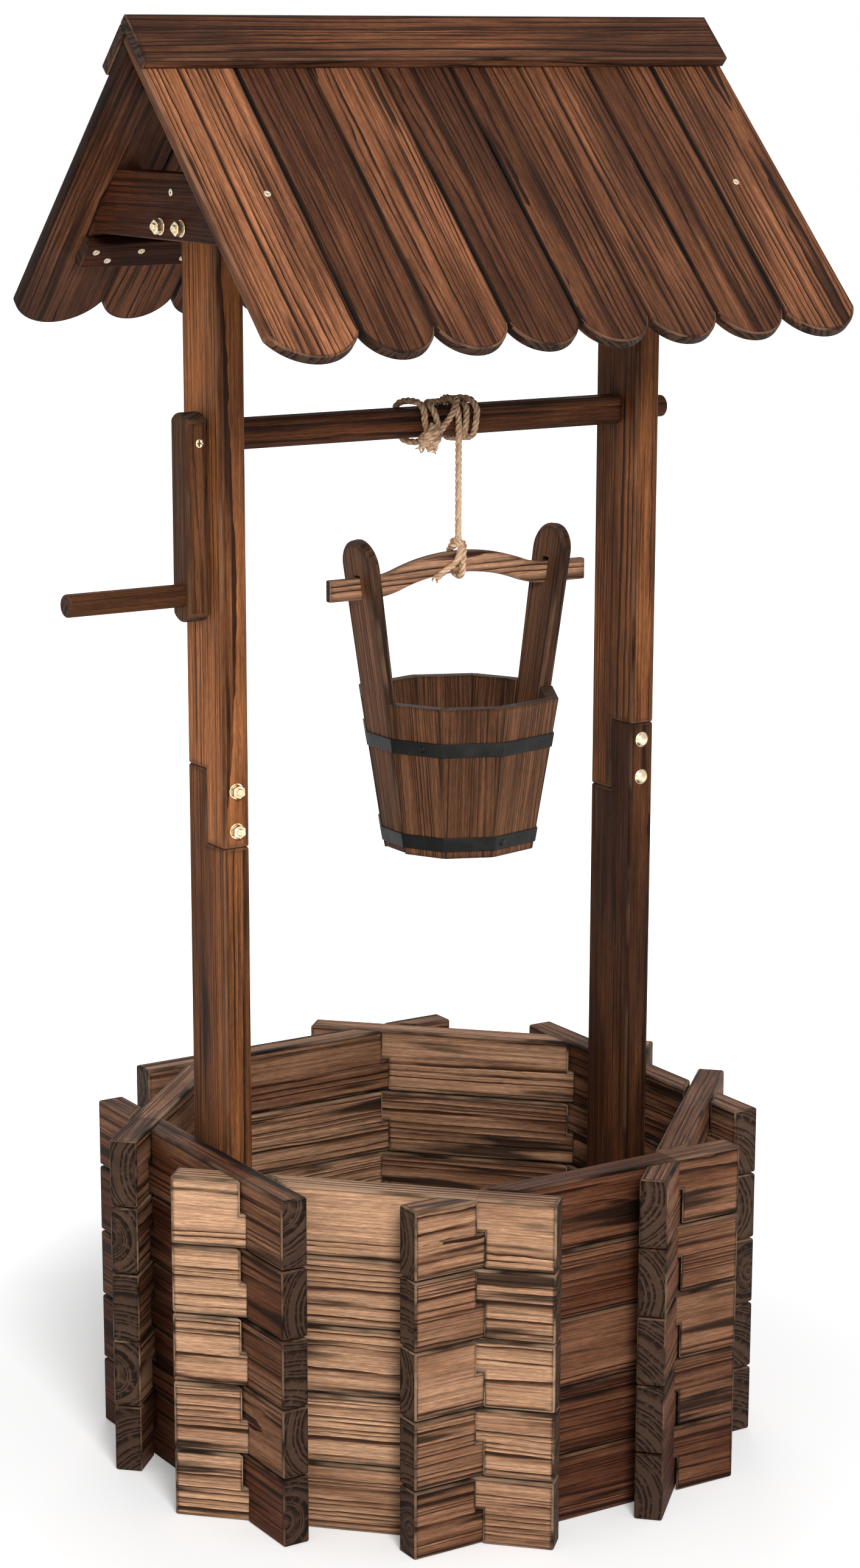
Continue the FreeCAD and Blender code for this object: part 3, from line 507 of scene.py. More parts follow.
# %% [markdown]
# A board's edges are rounded by a bevel. Each flat face gets a narrow inset ring, which carries the burnt rim. Last,
# its grain is marked. A board keeps its own random place in the trunk, so no two look the same.

# %% Rounded edges, burnt rims and grain
narrowest_ring = 6 * mm


def soften(bm, size, segments=3, sharp=radians(25), worn=1.0):
    """Rounds the outward edges, and marks the rounded faces as worn."""
    edges = [e for e in bm.edges if len(e.link_faces) == 2 and e.is_convex and e.calc_face_angle() > sharp]
    made = bmesh.ops.bevel(bm, geom=edges, offset=size, offset_type="OFFSET", segments=segments, profile=0.5,
                           affect="EDGES", clamp_overlap=True, material=-1)
    marks = bm.faces.layers.float_vector["marks"]
    for face in made["faces"]:
        face[marks] = (worn, 0.0, 0.0)
        face.smooth = True
    return bm


def set_rim(bm, verts, value):
    rim = bm.verts.layers.float["rim"]
    for vert in verts:
        vert[rim] = value


def rim_rings(bm, wide):
    """An inset ring in every flat face: the rim value is 1 up to the ring and 0 inside it. Slivers get none."""
    set_rim(bm, bm.verts, 1.0)
    for face in [f for f in bm.faces if not f.smooth]:
        narrow = face.calc_area() / max(e.calc_length() for e in face.edges)
        if narrow < narrowest_ring:
            face.smooth = len(face.edges) == 4
            continue
        bmesh.ops.inset_individual(bm, faces=[face], thickness=min(wide, narrow * 0.3), use_even_offset=True)
        set_rim(bm, face.verts, 0.0)
    return bm


def mark_grain(bm, along=X, across=Y, heart=(0.05, 0.03), tone=None):
    """Writes the board's place in its trunk, within a reach of its heart, its end grain and its tone."""
    grain, marks = bm.verts.layers.float_vector["grain"], bm.faces.layers.float_vector["marks"]
    third = along.cross(across)
    start = Vector((draw.uniform(0, 4), draw.choice((-1, 1)) * draw.uniform(0.2, 1) * heart[0],
                    draw.choice((-1, 1)) * draw.uniform(0.5, 1) * heart[1]))
    drawn_tone = min(max(draw.gauss(0.5, 0.22), 0.0), 1.0)
    for vert in bm.verts:
        vert[grain] = start + Vector((vert.co.dot(along), vert.co.dot(across), vert.co.dot(third)))
    for face in bm.faces:
        end = 1.0 if abs(face.normal.dot(along)) > 0.75 else 0.0
        face[marks] = (face[marks][0] * (1 - end), end, drawn_tone if tone is None else tone)
    return bm


def remark(bm, pick, worn=None, tone=None):
    """Gives another wear or tone to the faces that a test picks."""
    marks = bm.faces.layers.float_vector["marks"]
    for face in filter(pick, bm.faces):
        old = face[marks]
        face[marks] = (old[0] if worn is None else worn, old[1], old[2] if tone is None else tone)


def finished_board(bm, round_off, ring=5 * mm, segments=3, **grain):
    return mark_grain(rim_rings(soften(bm, round_off, segments), ring), **grain)


print("wood is drawn from seed 7")

# %% [markdown]
# A finished board is turned and moved to its place. The boards that belong together become one object, which is
# told its body and the CAD nodes that it stands for.

# %% Placing and gathering
def moved(bm, turn, at):
    bmesh.ops.transform(bm, matrix=Matrix.Translation(at) @ turn.to_4x4(), verts=bm.verts)
    return bm


def placed(bm, x_to, y_to, at):
    """Turns a board's X and Y to two directions of the object and moves it."""
    return moved(bm, Matrix((x_to, y_to, x_to.cross(y_to))).transposed(), at)


def aimed(bm, direction, at):
    """Turns a piece's Z to a direction and moves it."""
    return moved(bm, direction.to_track_quat("Z", "Y").to_matrix(), at)


def turned(bm, angle, axis="Z"):
    bmesh.ops.rotate(bm, cent=(0, 0, 0), matrix=Matrix.Rotation(angle, 3, axis), verts=bm.verts)
    return bm


def joined(name, parts, material):
    """One object from several bmeshes, which are used up."""
    whole = bmesh.new()
    for part in parts:
        mesh = bpy.data.meshes.new("part")
        part.to_mesh(mesh)
        part.free()
        whole.from_mesh(mesh)
        bpy.data.meshes.remove(mesh)
    mesh = bpy.data.meshes.new(name)
    whole.to_mesh(mesh)
    whole.free()
    mesh.materials.append(material)
    made = bpy.data.objects.new(name, mesh)
    bpy.context.scene.collection.objects.link(made)
    print("%s: %d faces" % (name, len(mesh.polygons)))
    return made


def gather(name, parts, material, body, slot, *nodes):
    """A joined piece that rides on a body and stands for CAD nodes."""
    made = joined(name, parts, material)
    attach(made, body)
    if nodes:
        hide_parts(*nodes)
    return made


def dress(node, material):
    """Gives a CAD node its finish."""
    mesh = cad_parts[node].data
    mesh.materials.clear()
    mesh.materials.append(material)


# %% [markdown]
# ## Planter wall
# Each face of the octagon is five boards on edge. A board's left end is notched above and its right end below,
# and the neighbour's notch fits into it. Where two boards cross at 45 degrees, the notch's walls slant, so its
# corners on the front of the board lie further out than those on the back. The outline is drawn with the notches,
# thickened, and the corners of one side are then slid sideways. A board's two tails and its middle have tones of
# their own, which differ from face to face round the wall.

# %% Planter wall
slack = 1.5 * mm                         # beside the neighbour in a notch
board_gap = 1.3 * mm                     # between two courses
wall_round, wall_char_and_gap_shade = 2.0 * mm, 2.5 * mm   # an edge's rounding, and the width of its rim of char and painted gap shade
tone_spread, course_step = 0.09, 0.07    # of boards on one face, and of the two lowest courses
wall_thick = wall_apothem - wall_inner
notch_near = (wall_inner - slack) * sqrt(2) - wall_apothem
notch_far = (wall_apothem + slack) * sqrt(2) - wall_apothem


def wall_board():
    middle, high = wall_board_high / 2, wall_board_high - board_gap
    board = thickened(outline(
        (-wall_half, 0), (notch_near, 0), (notch_near, middle), (notch_far, middle), (notch_far, 0), (wall_half, 0),
        (wall_half, high), (-notch_near, high), (-notch_near, middle), (-notch_far, middle), (-notch_far, high),
        (-wall_half, high)), wall_thick)
    for vert in board.verts:
        if vert.co.z < wall_thick / 2 and abs(vert.co.x) < wall_half - 1 * mm:
            vert.co.x += copysign(wall_thick, vert.co.x)
    return board


wall_tones = {                           # left tail, middle and right tail, seen from outside
    "front": (0.55, 0.18, 0.32), "front_right": (0.30, 0.28, 0.35), "right": (0.40, 0.55, 0.45),
    "back_right": (0.60, 0.70, 0.55), "back": (0.50, 0.60, 0.70), "back_left": (0.45, 0.65, 0.60),
    "left": (0.22, 0.20, 0.30), "front_left": (1.0, 0.84, 0.84)}
crossing = (abs(notch_near) + abs(notch_far) + wall_thick) / 2
for index, (name, tones) in enumerate(wall_tones.items()):
    boards = []
    for course in range(wall_courses):
        board = finished_board(wall_board(), wall_round, wall_char_and_gap_shade)
        for x in (-crossing, crossing):
            cut(board, (x, 0, 0), X)
        for tone, low, high in zip(tones, (-1, -crossing, crossing), (-crossing, crossing, 1)):
            shade = tone + draw.gauss(0, tone_spread) - course_step * max(0, 2 - course)
            remark(board, lambda face: low < middle_of(face).x < high, tone=min(max(shade, 0), 1))
        placed(board, X, Z, Vector((0, -wall_inner, course * wall_board_high)))
        boards.append(turned(board, index * tau / wall_faces))
    gather("wall_boards_" + name, boards, wood["wall"], "stand", "wall_wood", "wall_" + name)

# %% [markdown]
# ## Floor of the planter
# Bearers and slats are plain sawn bars deep inside the wall, so the CAD nodes stay and only get a finish.

# %% Floor of the planter
dress("floor_bearers", floor_wood_x)
dress("floor_slats", floor_wood_y)
print("floor dressed")

# %% [markdown]
# ## Posts and collars
# A post is two bars joined by a half-lap: the lower bar keeps its back half there, the upper bar its front half.
# The collars are short boards with two sloping shoulders, bolted outside the posts and closing the gables.
# The right-hand side is the left-hand side turned half a turn, as on the real kit.

# %% Posts and collars
post_round, collar_round = 2.0 * mm, 1.2 * mm


def post(lower, wide_tone, narrow_tone):
    """A post's bar lying down: X is up on the object, Y is its depth. Its wide and narrow faces have own tones."""
    half, high = post_half, upper_high.z
    if lower:
        shape = outline((0, -half), (lap_low, -half), (lap_low, 0), (lap_high, 0), (lap_high, half), (0, half))
    else:
        shape = outline((lap_low, -half), (high, -half), (high, half), (lap_high, half), (lap_high, 0), (lap_low, 0))
    piece = finished_board(thickened(shape, post_thick), post_round, heart=(0.09, 0.05), tone=wide_tone)
    remark(piece, lambda face: abs(face.normal.y) > 0.7, tone=narrow_tone)
    return placed(piece, Z, Y, Vector((-post_x + post_thick / 2, 0, 0)))


def collar():
    low, high = collar_low, collar_high
    shoulder_half = ridge_z - board_thick * sqrt(2) - high.z
    shoulder_z = high.z + shoulder_half - high.y
    shape = outline((-high.y, low.z), (high.y, low.z), (high.y, shoulder_z), (shoulder_half, high.z),
                    (-shoulder_half, high.z), (-high.y, shoulder_z))
    board = finished_board(thickened(shape, high.x - low.x), collar_round, tone=0.5)
    return placed(board, Y, Z, Vector((low.x, 0, 0)))


for side, angle, foot_tones, top_tones in (("left", 0, (0.34, 0.42), (0.78, 0.50)),
                                           ("right", pi, (0.14, 0.16), (0.40, 0.40))):
    for name, piece, finish, node in (("post_foot_", post(True, *foot_tones), "post", "lower_post_"),
                                      ("post_top_", post(False, *top_tones), "post", "upper_post_"),
                                      ("gable_collar_", collar(), "gable", "collar_")):
        gather(name + side, [turned(piece, angle)], wood[finish], "stand", "post_wood", node + side)

# %% [markdown]
# ## Roof boards
# Eight boards lie on each slope, edge to edge, with a rounded lower end. The round end is spun from one corner,
# so its curve is a true arc. The edges are rounded over. Where two boards meet, their edges keep the char of the
# burnt rim and no pale wear, which also paints shade into the dark grooves; the roof's outer edges are worn pale.

# %% Roof boards
slope = radians(45)
down_front = Vector((0, -cos(slope), -sin(slope)))
out_front = Vector((0, -sin(slope), cos(slope)))
round_rise = 23 * mm                     # from a board's tip to its straight sides
roof_gap, roof_round = 0.8 * mm, 1.8 * mm


def roof_board(wide, start, tip):
    """A board lying down, X down the slope."""
    half = wide / 2
    radius, sweep = flat_arc(half, round_rise)
    straight = tip - round_rise
    return thickened(outline((start, half), (start, -half), (straight, -half), ((tip - radius, 0), sweep, 20)),
                     board_thick)


front_tones = (0.74, 0.36, 0.52, 0.28, 0.32, 0.50, 0.36, 0.54)
back_tones = (0.30, 0.55, 0.40, 0.25, 0.60, 0.35, 0.50, 0.62)
for side, angle, tones in (("front", 0, front_tones), ("back", pi, back_tones)):
    for number, tone in enumerate(tones, 1):
        node = "roof_%s_board_%d" % (side, number)
        low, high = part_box(node)
        start = 0.0 if side == "front" else board_thick
        tip = max(abs(low.y), abs(high.y)) / cos(slope)
        wide = high.x - low.x - roof_gap
        board = finished_board(roof_board(wide, start, tip), roof_round, roof_round, heart=(0.05, 0.04), tone=tone)
        edge = wide / 2 - roof_round - 0.1 * mm      # just inside the rounded edge
        for joint, outermost in ((1, 8), (-1, 1)):
            if number != outermost:
                # Painted shade: the joints' edges lose their pale wear, so their char darkens the grooves between
                # boards.
                remark(board, lambda face: middle_of(face).y * joint > edge, worn=0.0)
        middle = (low.x + high.x) / 2 * cos(angle)
        placed(board, down_front, X, Vector((middle, 0, ridge_z)) - out_front * board_thick)
        gather("roof_%s_%d" % (side, number), [turned(board, angle)], wood["roof"], "stand", "roof_wood", node)

# %% [markdown]
# ## Ridge caps and battens
# Two boards cap the ridge, the front one over the edge of the back one, and two battens under each slope hold the
# roof boards together. Each one is a bar along the ridge.

# %% Ridge caps and battens
cap_thick, front_cap_wide, back_cap_wide = 10 * mm, 46.5 * mm, 44 * mm
batten_thick, batten_wide = 11 * mm, 27 * mm
lower_batten, upper_batten = 209 * mm, 28 * mm   # down the slope from the ridge


def slope_bar(node, down, wide, depth, thick, finish):
    """A bar along the ridge, some way down the slope and some depth below the roof's face."""
    low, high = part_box(node)
    piece = finished_board(bar(low.x, high.x, down, down + wide, 0, thick), round_off=1.5 * mm, ring=4 * mm,
                           heart=(0.06, 0.03), tone=0.3)
    placed(piece, X, down_front, Vector((0, 0, ridge_z)) - out_front * depth)
    if node.endswith("back"):
        turned(piece, pi)
    gather(node + "_board", [piece], finish, "stand", "roof_wood", node)


slope_bar("ridge_cap_front", -cap_thick, front_cap_wide, -cap_thick, cap_thick, wood["roof"])
slope_bar("ridge_cap_back", 0.0, back_cap_wide, -cap_thick, cap_thick, wood["roof"])
for side in ("front", "back"):
    for name, down in (("lower_batten_", lower_batten), ("upper_batten_", upper_batten)):
        slope_bar(name + side, down, batten_wide, board_thick, batten_thick, wood["gable"])

# %% [markdown]
# ## Windlass
# The axle is a square bar with its corners taken off and a round tenon at each end.

# %% Windlass
def dowel(x0, x1, radius, round_off, sides=40):
    """A round bar along X."""
    bm = new_board()
    bmesh.ops.create_circle(bm, cap_ends=True, segments=sides, radius=radius)
    extruded(turned(bm, pi / 2, "Y"), bm.faces[:], (x1 - x0, 0, 0))
    soften(outwards(bm), round_off, sharp=radians(60))
    for face in bm.faces:
        face.smooth = face.smooth or abs(face.normal.x) < 0.2
    return shifted(bm, (x0, 0, 0))


tenon_radius, axle_chamfer = 9 * mm, 3 * mm
tenon_root = 2 * mm                      # how deep a tenon starts in the square bar
running_gap = 0.5 * mm                   # between the square bar and a post
shoulder = post_x - post_thick / 2 - running_gap
side = axle_side / 2
square = soften(bar(-shoulder, shoulder, -side, side, -side, side), axle_chamfer, 1, worn=0.3)
for face in square.faces:
    face.smooth = False
finished_board(square, round_off=0.7 * mm, ring=4 * mm, segments=2, tone=0.5)
tenons = [mark_grain(dowel(x0, x1, tenon_radius, round_off), tone=0.3) for x0, x1, round_off in (
    (axle_low.x, -shoulder + tenon_root, 0.6 * mm), (shoulder - tenon_root, axle_high.x, 1.6 * mm))]
gather("axle_bar", [shifted(part, (0, 0, axle_z)) for part in (square, *tenons)], wood["axle"], "windlass",
       "windlass_wood", "axle")

# %% [markdown]
# The crank arm is a flat board with rounded ends on the left tenon, and the handle is a dowel in its lower end.

# %% Crank arm and handle
def crank():
    """The arm lying down: X is down on the object."""
    half, rise = crank_high.y, 6 * mm    # rise of the rounded ends
    radius, sweep = flat_arc(half, rise)
    foot, head = -crank_low.z, -crank_high.z
    shape = outline((head + rise, half), ((head + radius, 0), sweep, 12), (foot - rise, -half),
                    ((foot - radius, 0), sweep, 12))
    board = finished_board(thickened(shape, crank_high.x - crank_low.x), round_off=2.0 * mm, ring=4 * mm,
                           heart=(0.06, 0.03), tone=0.5)
    return placed(board, -Z, Y, Vector((crank_low.x, 0, 0)))


gather("crank_board", [crank()], wood["crank"], "windlass", "windlass_wood", "crank_arm")
handle_low, handle_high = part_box("crank_handle")
handle_radius = 9 * mm
grip = mark_grain(dowel(handle_low.x, handle_high.x, handle_radius, round_off=2.5 * mm), tone=0.33)
gather("crank_grip", [shifted(grip, (0, 0, (handle_low.z + handle_high.z) / 2))], wood["crank"], "windlass",
       "windlass_wood", "crank_handle")

# %% [markdown]
# ## Bucket
# The bucket is coopered: two tall staves carry the bail and four short ones stand on each side between them. All
# lean outwards. A short stave starts as a cube whose corners are moved onto the planes that meet at its joints.

# %% Bucket sizes and short staves
short_facings = (0, 29, 67, 103, 151, 180)      # degrees, from one tall stave round to the other
foot_apothem, rim_apothem = 60 * mm, 78.5 * mm
stave_thick = 10 * mm
lean = atan2(rim_apothem - foot_apothem, bucket_rim - bucket_foot)
lean_up = Vector((sin(lean), 0, cos(lean)))
tall_angle = radians(short_facings[1] / 2)
stave_rim = bucket_rim + 6 * mm          # a little above the CAD's rim, as on the real bucket
hang = Vector((rope_x, rope_y, 0))


def apothem(z):
    return foot_apothem + (z - bucket_foot) * tan(lean)


def bucket_sides():
    """Facing angle, lower and upper limit from it, and whether the stave is tall."""
    for start in (0, 180):
        yield radians(start), -tall_angle, tall_angle, True
        for before, facing, after in zip(short_facings, short_facings[1:], short_facings[2:]):
            yield radians(start + facing), radians(before - facing) / 2, radians(after - facing) / 2, False


def short_stave(low, high):
    """A leaning plate between two radial planes, facing +X."""
    bm = new_board()
    bmesh.ops.create_cube(bm, size=2)
    for vert in bm.verts:
        z = stave_rim if vert.co.z > 0 else bucket_foot
        reach = apothem(z) - (0 if vert.co.x > 0 else stave_thick / cos(lean))
        vert.co = (reach, reach * tan(high if vert.co.y > 0 else low), z)
    return bm


def hung(bm, facing=0.0):
    return shifted(turned(bm, facing), hang)


staves = []
for facing, low, high, tall in bucket_sides():
    if not tall:
        stave = finished_board(short_stave(low, high), round_off=0.7 * mm, ring=3 * mm, along=lean_up, across=Y,
                               heart=(0.2, 0.02), tone=draw.uniform(0.4, 0.75))
        staves.append(hung(stave, facing))
gather("short_staves", staves, wood["bucket"], "bucket", "bucket_wood", "bucket_staves")

# %% [markdown]
# A tall stave is drawn lying down: a narrow foot, square sides above the rim and a half-round top. Two cuts each
# way mark out the slot for the bail, whose front and back openings are then bridged into a hole.

# %% Tall staves
bail_deep = 17.5 * mm
bail_thick = bail_high.y - bail_low.y
tall_top = (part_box("tall_stave_right")[1].z - bucket_foot) / cos(lean)
rim_along = (stave_rim - bucket_foot) / cos(lean)
top_half = 22 * mm
play_above, play_aside = 2 * mm, 0.9 * mm        # round the bail in its slot
slot_low = (bail_low.z - bucket_foot) / cos(lean)
slot_high = slot_low + bail_deep + play_above
slot_half = bail_thick / 2 + play_aside


def tall_stave(tone):
    """X is up the stave from its foot, Z is outwards."""
    foot_half, rim_half = (a * tan(tall_angle) for a in (foot_apothem, apothem(stave_rim)))
    bm = thickened(outline((rim_along, rim_half), (0, foot_half), (0, -foot_half), (rim_along, -rim_half),
                           (tall_top - top_half, -top_half), ((tall_top - top_half, 0), pi, 24)), stave_thick)
    for vert in bm.verts:
        if vert.co.z < stave_thick / 2 and vert.co.x < rim_along + 1 * mm:
            vert.co.y *= 1 - stave_thick / apothem(bucket_foot + vert.co.x * cos(lean))
    rim_rings(soften(bm, 2.8 * mm), 5 * mm)
    for at, normal in ((X * slot_low, X), (X * slot_high, X), (Y * -slot_half, Y), (Y * slot_half, Y)):
        cut(bm, at, normal)
    inside = [f for f in bm.faces if abs(f.normal.z) > 0.9 and slot_low < middle_of(f).x < slot_high
              and abs(middle_of(f).y) < slot_half]
    bmesh.ops.delete(bm, geom=inside, context="FACES")
    walls = bmesh.ops.bridge_loops(bm, edges=[e for e in bm.edges if e.is_boundary])["faces"]
    mark_grain(outwards(bm), heart=(0.2, 0.02), tone=tone)
    marks = bm.faces.layers.float_vector["marks"]
    for face in walls:
        face[marks] = (0, 1, 0)
    return bm


for side, facing, tone in (("right", 0.0, 0.5), ("left", pi, 0.85)):
    stave = placed(tall_stave(tone), lean_up, -Y,
                   Vector((foot_apothem, 0, bucket_foot)) - lean_up.cross(-Y) * stave_thick)
    gather("tall_stave_%s_board" % side, [hung(stave, facing)], wood["bucket"], "bucket", "bucket_wood",
           "tall_stave_" + side)

# %% [markdown]
# ## Bail
# The bail is a flat bar, straight where it goes through the staves, with a hollow beside each one and a low arch
# between. One rectangle is swept along it: pushed straight, then spun about the centre of each bend.

# %% Bail
bail_rise, arch_half, hollow_run = 15 * mm, 84 * mm, 26 * mm
bail_turn = 2 * atan2(bail_rise, arch_half)
hollow = hollow_run / sin(bail_turn)
crown = (arch_half - hollow_run) / sin(bail_turn)
bail_middle = bail_low.z + bail_deep / 2


def leading(made):
    return max((g for g in made if isinstance(g, bmesh.types.BMFace)), key=lambda f: middle_of(f).x)


def bail():
    bm = new_board()
    half = (bail_high.x - bail_low.x) / 2
    bmesh.ops.create_grid(bm, x_segments=1, y_segments=1, size=0.5)
    bmesh.ops.scale(bm, vec=(bail_deep, bail_thick, 1), verts=bm.verts)
    shifted(turned(bm, pi / 2, "Y"), (-half, 0, 0))
    start = bm.faces[:][0]

    def push(face, to_x):
        made = extruded(bm, [face], (to_x - middle_of(face).x, 0, 0))
        if face != start:
            bmesh.ops.delete(bm, geom=[face], context="FACES_ONLY")
        return leading(made)

    end = push(start, -arch_half)
    for centre, angle, steps in (((-arch_half, 0, hollow), -bail_turn, 10),
                                 ((0, 0, bail_rise - crown), 2 * bail_turn, 28),
                                 ((arch_half, 0, hollow), -bail_turn, 10)):
        end = leading(spun(bm, [end], centre, Y, angle, steps))
    push(end, half)
    bmesh.ops.remove_doubles(bm, verts=bm.verts, dist=merge_distance)
    soften(outwards(bm), 1.2 * mm, 3, radians(40))
    set_rim(bm, bm.verts, 1.0)
    for facing in (-1, 1):
        face_strip = [f for f in bm.faces if f.normal.y * facing > 0.99 and not f.smooth]
        bmesh.ops.inset_region(bm, faces=face_strip, thickness=3 * mm, use_even_offset=True)
        set_rim(bm, {v for f in face_strip for v in f.verts}, 0.0)
    return mark_grain(bm, across=Z, tone=0.6)


bail_board = bail()
print("bail: open edges", len([e for e in bail_board.edges if not e.is_manifold]))
gather("bail_bar", [hung(shifted(bail_board, (0, 0, bail_middle)))], wood["bail"], "bucket", "bucket_wood",
       "bucket_bail")

# %% [markdown]
# ## Hoops and the bottom
# A hoop is a thin steel band round the staves. It starts as one ring of corners, is drawn up along the lean and
# then thickened outwards.

# %% Hoops and the bottom
hoop_thick = 1.2 * mm


def hoop(z0, z1):
    bm = new_board()
    corners = []
    for facing, _, high, _ in bucket_sides():
        reach = apothem(z0) / cos(high)
        corners.append(bm.verts.new((reach * cos(facing + high), reach * sin(facing + high), z0)))
    for pair in zip(corners, corners[1:] + corners[:1]):
        bm.edges.new(pair)
    upper = verts_of(bmesh.ops.extrude_edge_only(bm, edges=bm.edges[:])["geom"])
    grow = apothem(z1) / apothem(z0)
    bmesh.ops.scale(bm, vec=(grow, grow, 1), verts=upper)
    bmesh.ops.translate(bm, vec=(0, 0, z1 - z0), verts=upper)
    face = outwards(bm).faces[:][0]
    if face.normal.xy.dot(middle_of(face).xy) < 0:
        bmesh.ops.reverse_faces(bm, faces=bm.faces)
    bmesh.ops.solidify(bm, geom=bm.faces[:], thickness=-hoop_thick)
    return soften(outwards(bm), 0.35 * mm, 2)


for name in ("upper", "lower"):
    low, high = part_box("hoop_" + name)
    gather("steel_hoop_" + name, [hung(hoop(low.z, high.z))], black_steel, "bucket", "hoop_steel", "hoop_" + name)
dress("bucket_bottom", floor_wood_x)

# %% [markdown]
# ## Bolts, washers and nuts
# Each fastener is a profile spun about its own axis. The heads of the lap bolts are at the back on the left and in
# front on the right, because the right post is the left one turned round.

# %% Turned fasteners
def lathe(profile, sides=32):
    """A closed solid spun about Z from (radius, height) points in millimetres."""
    bm = new_board()
    verts = [bm.verts.new((r * mm, 0, z * mm)) for r, z in profile]
    edges = [bm.edges.new(pair) for pair in zip(verts, verts[1:])]
    spun(bm, verts + edges, (0, 0, 0), Z, tau, sides, use_merge=True)
    bmesh.ops.remove_doubles(bm, verts=bm.verts, dist=merge_distance)
    for face in outwards(bm).faces:
        face.smooth = abs(face.normal.z) < 0.9999
    return bm


def dome(radius, high, steps=7):
    """Points of a dome's edge from its rim to its crown."""
    ball, sweep = flat_arc(radius, high)
    angles = [sweep / 2 * (1 - i / steps) for i in range(steps + 1)]
    return [(ball * sin(a), ball * cos(a) - ball + high) for a in angles]


nut_radius, nut_high = 5.77 * mm, 5 * mm     # M6, over its corners
thread = [(0, 0), (3, 0), (3, 6.4), (2.5, 7), (0, 7)]
washer_high = 1.2
washer = [(3.1, 0), (6.3, 0), (6.5, 0.3), (6.4, 1.1), (6.1, washer_high), (3.1, washer_high), (3.1, 0)]


def nut_and_thread():
    bm = new_board()
    bmesh.ops.create_cone(bm, cap_ends=True, segments=6, radius1=nut_radius, radius2=nut_radius, depth=nut_high)
    return [shifted(soften(bm, 0.7 * mm, 2, radians(70)), (0, 0, nut_high / 2)), lathe(thread)]


def bolt_set(seat, outward, grip, head):
    """A domed head, of a radius in millimetres, on the seat, and its washer and nut behind the grip."""
    far = seat - outward * grip
    pieces = [aimed(lathe([(0, 0), (head + 0.2, 0)] + dome(head, head * 0.54)), outward, seat),
              aimed(lathe(washer), -outward, far)]
    return pieces + [aimed(p, -outward, far - outward * washer_high * mm) for p in nut_and_thread()]


lap_head, collar_head = 6.3, 4.6         # radius in millimetres
lap_inset, collar_inset, collar_bolt_y = 14 * mm, 10 * mm, 16.5 * mm
lap_sets, collar_sets = [], []
for side in (-1, 1):
    for z in (lap_low + lap_inset, lap_high - lap_inset):
        outward = Y * -side
        lap_sets += bolt_set(outward * post_half + Vector((side * post_x, 0, z)), outward, 2 * post_half, lap_head)
    for y in (-collar_bolt_y, collar_bolt_y):
        seat = Vector((side * (post_x - post_thick / 2), y, collar_low.z + collar_inset))
        collar_sets += bolt_set(seat, X * -side, 2 * post_thick, collar_head)
gather("lap_fixings", lap_sets, yellow_zinc, "stand", "yellow_zinc", "lap_bolts", "washers", "nuts")
gather("collar_fixings", collar_sets, yellow_zinc, "stand", "yellow_zinc", "collar_bolts")
dress("axle_pin", yellow_zinc)

# %% [markdown]
# ## Screws
# A screw head sits almost flush. It is a shallow spun cone, and two rings of its points are drawn in between four
# arms, which gives the cross recess. The screws of the battens zigzag, two to a roof board. The hoops are held by
# tacks with domed heads.

# %% Screws
def screw_head(radius):
    """A countersunk head with a cross recess."""
    bm = lathe([(0, -0.6), (radius, -0.6), (radius, 0.2), (radius * 0.9, 0.45), (radius * 0.62, 0.5),
                (radius * 0.5, -0.2), (0, -0.4)], 24)
    for vert in bm.verts:
        reach = hypot(vert.co.x, vert.co.y) / (radius * mm)
        if 0.45 < reach < 0.65:
            star = 0.62 + 0.38 * cos(4 * atan2(vert.co.y, vert.co.x))
            vert.co.xy *= star
    return bm


def on_slope(x, down, depth, flip):
    """A point on the front or back slope, by its distance down the slope and its depth below the roof's face."""
    return (Vector((x, 0, ridge_z)) + down_front * down - out_front * depth) * flip


slope_screw, crank_screw, tack = 2.9, 3.6, 3      # radius in millimetres
face_screw_x, face_screw_down = (-210 * mm, 216 * mm), 160 * mm
zigzag = ((-0.42, 9 * mm), (0.22, 19 * mm))      # share of the roof board's width, way down the batten
batten_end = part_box("lower_batten_front")[1].x - 9.5 * mm
screws = []
for side, flip in (("front", Vector((1, 1, 1))), ("back", Vector((1, -1, 1)))):
    normal = out_front * flip
    for x in face_screw_x:
        screws.append((on_slope(x, face_screw_down, 0, flip), normal))
    for number in range(1, 9):
        low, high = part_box("roof_%s_board_%d" % (side, number))
        for share, rise in zigzag:
            x = min(max((low.x + high.x) / 2 + share * (high.x - low.x), -batten_end), batten_end)
            for start in (lower_batten, upper_batten):
                screws.append((on_slope(x, start + rise, board_thick + batten_thick, flip), -normal))
for side in (-1, 1):                     # one high in each collar
    screws.append((Vector((side * -collar_low.x, 0, collar_high.z - 14 * mm)), X * side))
gather("screws", [aimed(screw_head(slope_screw), normal, at) for at, normal in screws], yellow_zinc, "stand",
       "yellow_zinc")
aside, below = 2.5 * mm, 4 * mm          # from the middle of the arm and of the axle
crank_seat = Vector(((crank_low.x + crank_high.x) / 2 + aside, crank_low.y, axle_z - below))
gather("crank_screw_head", [aimed(screw_head(crank_screw), -Y, crank_seat)], yellow_zinc, "windlass", "yellow_zinc")
tacks = []                               # hoop, stave, degrees aside of the stave's middle
for name, number, aside in (("upper", 6, 6.5), ("lower", 8, -11), ("upper", 9, 7), ("lower", 2, 5)):
    low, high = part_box("hoop_" + name)
    middle = (low.z + high.z) / 2
    facing = list(bucket_sides())[number][0]
    flat = Vector((cos(facing), sin(facing), 0))         # out of the stave's face, level
    reach = apothem(middle) + hoop_thick / cos(lean)
    at = hang + flat * reach + Z.cross(flat) * (reach * tan(radians(aside))) + Z * middle
    tacks.append(aimed(lathe([(0, -0.5), (tack, -0.5)] + dome(tack, 1.2)), flat * cos(lean) - Z * sin(lean), at))
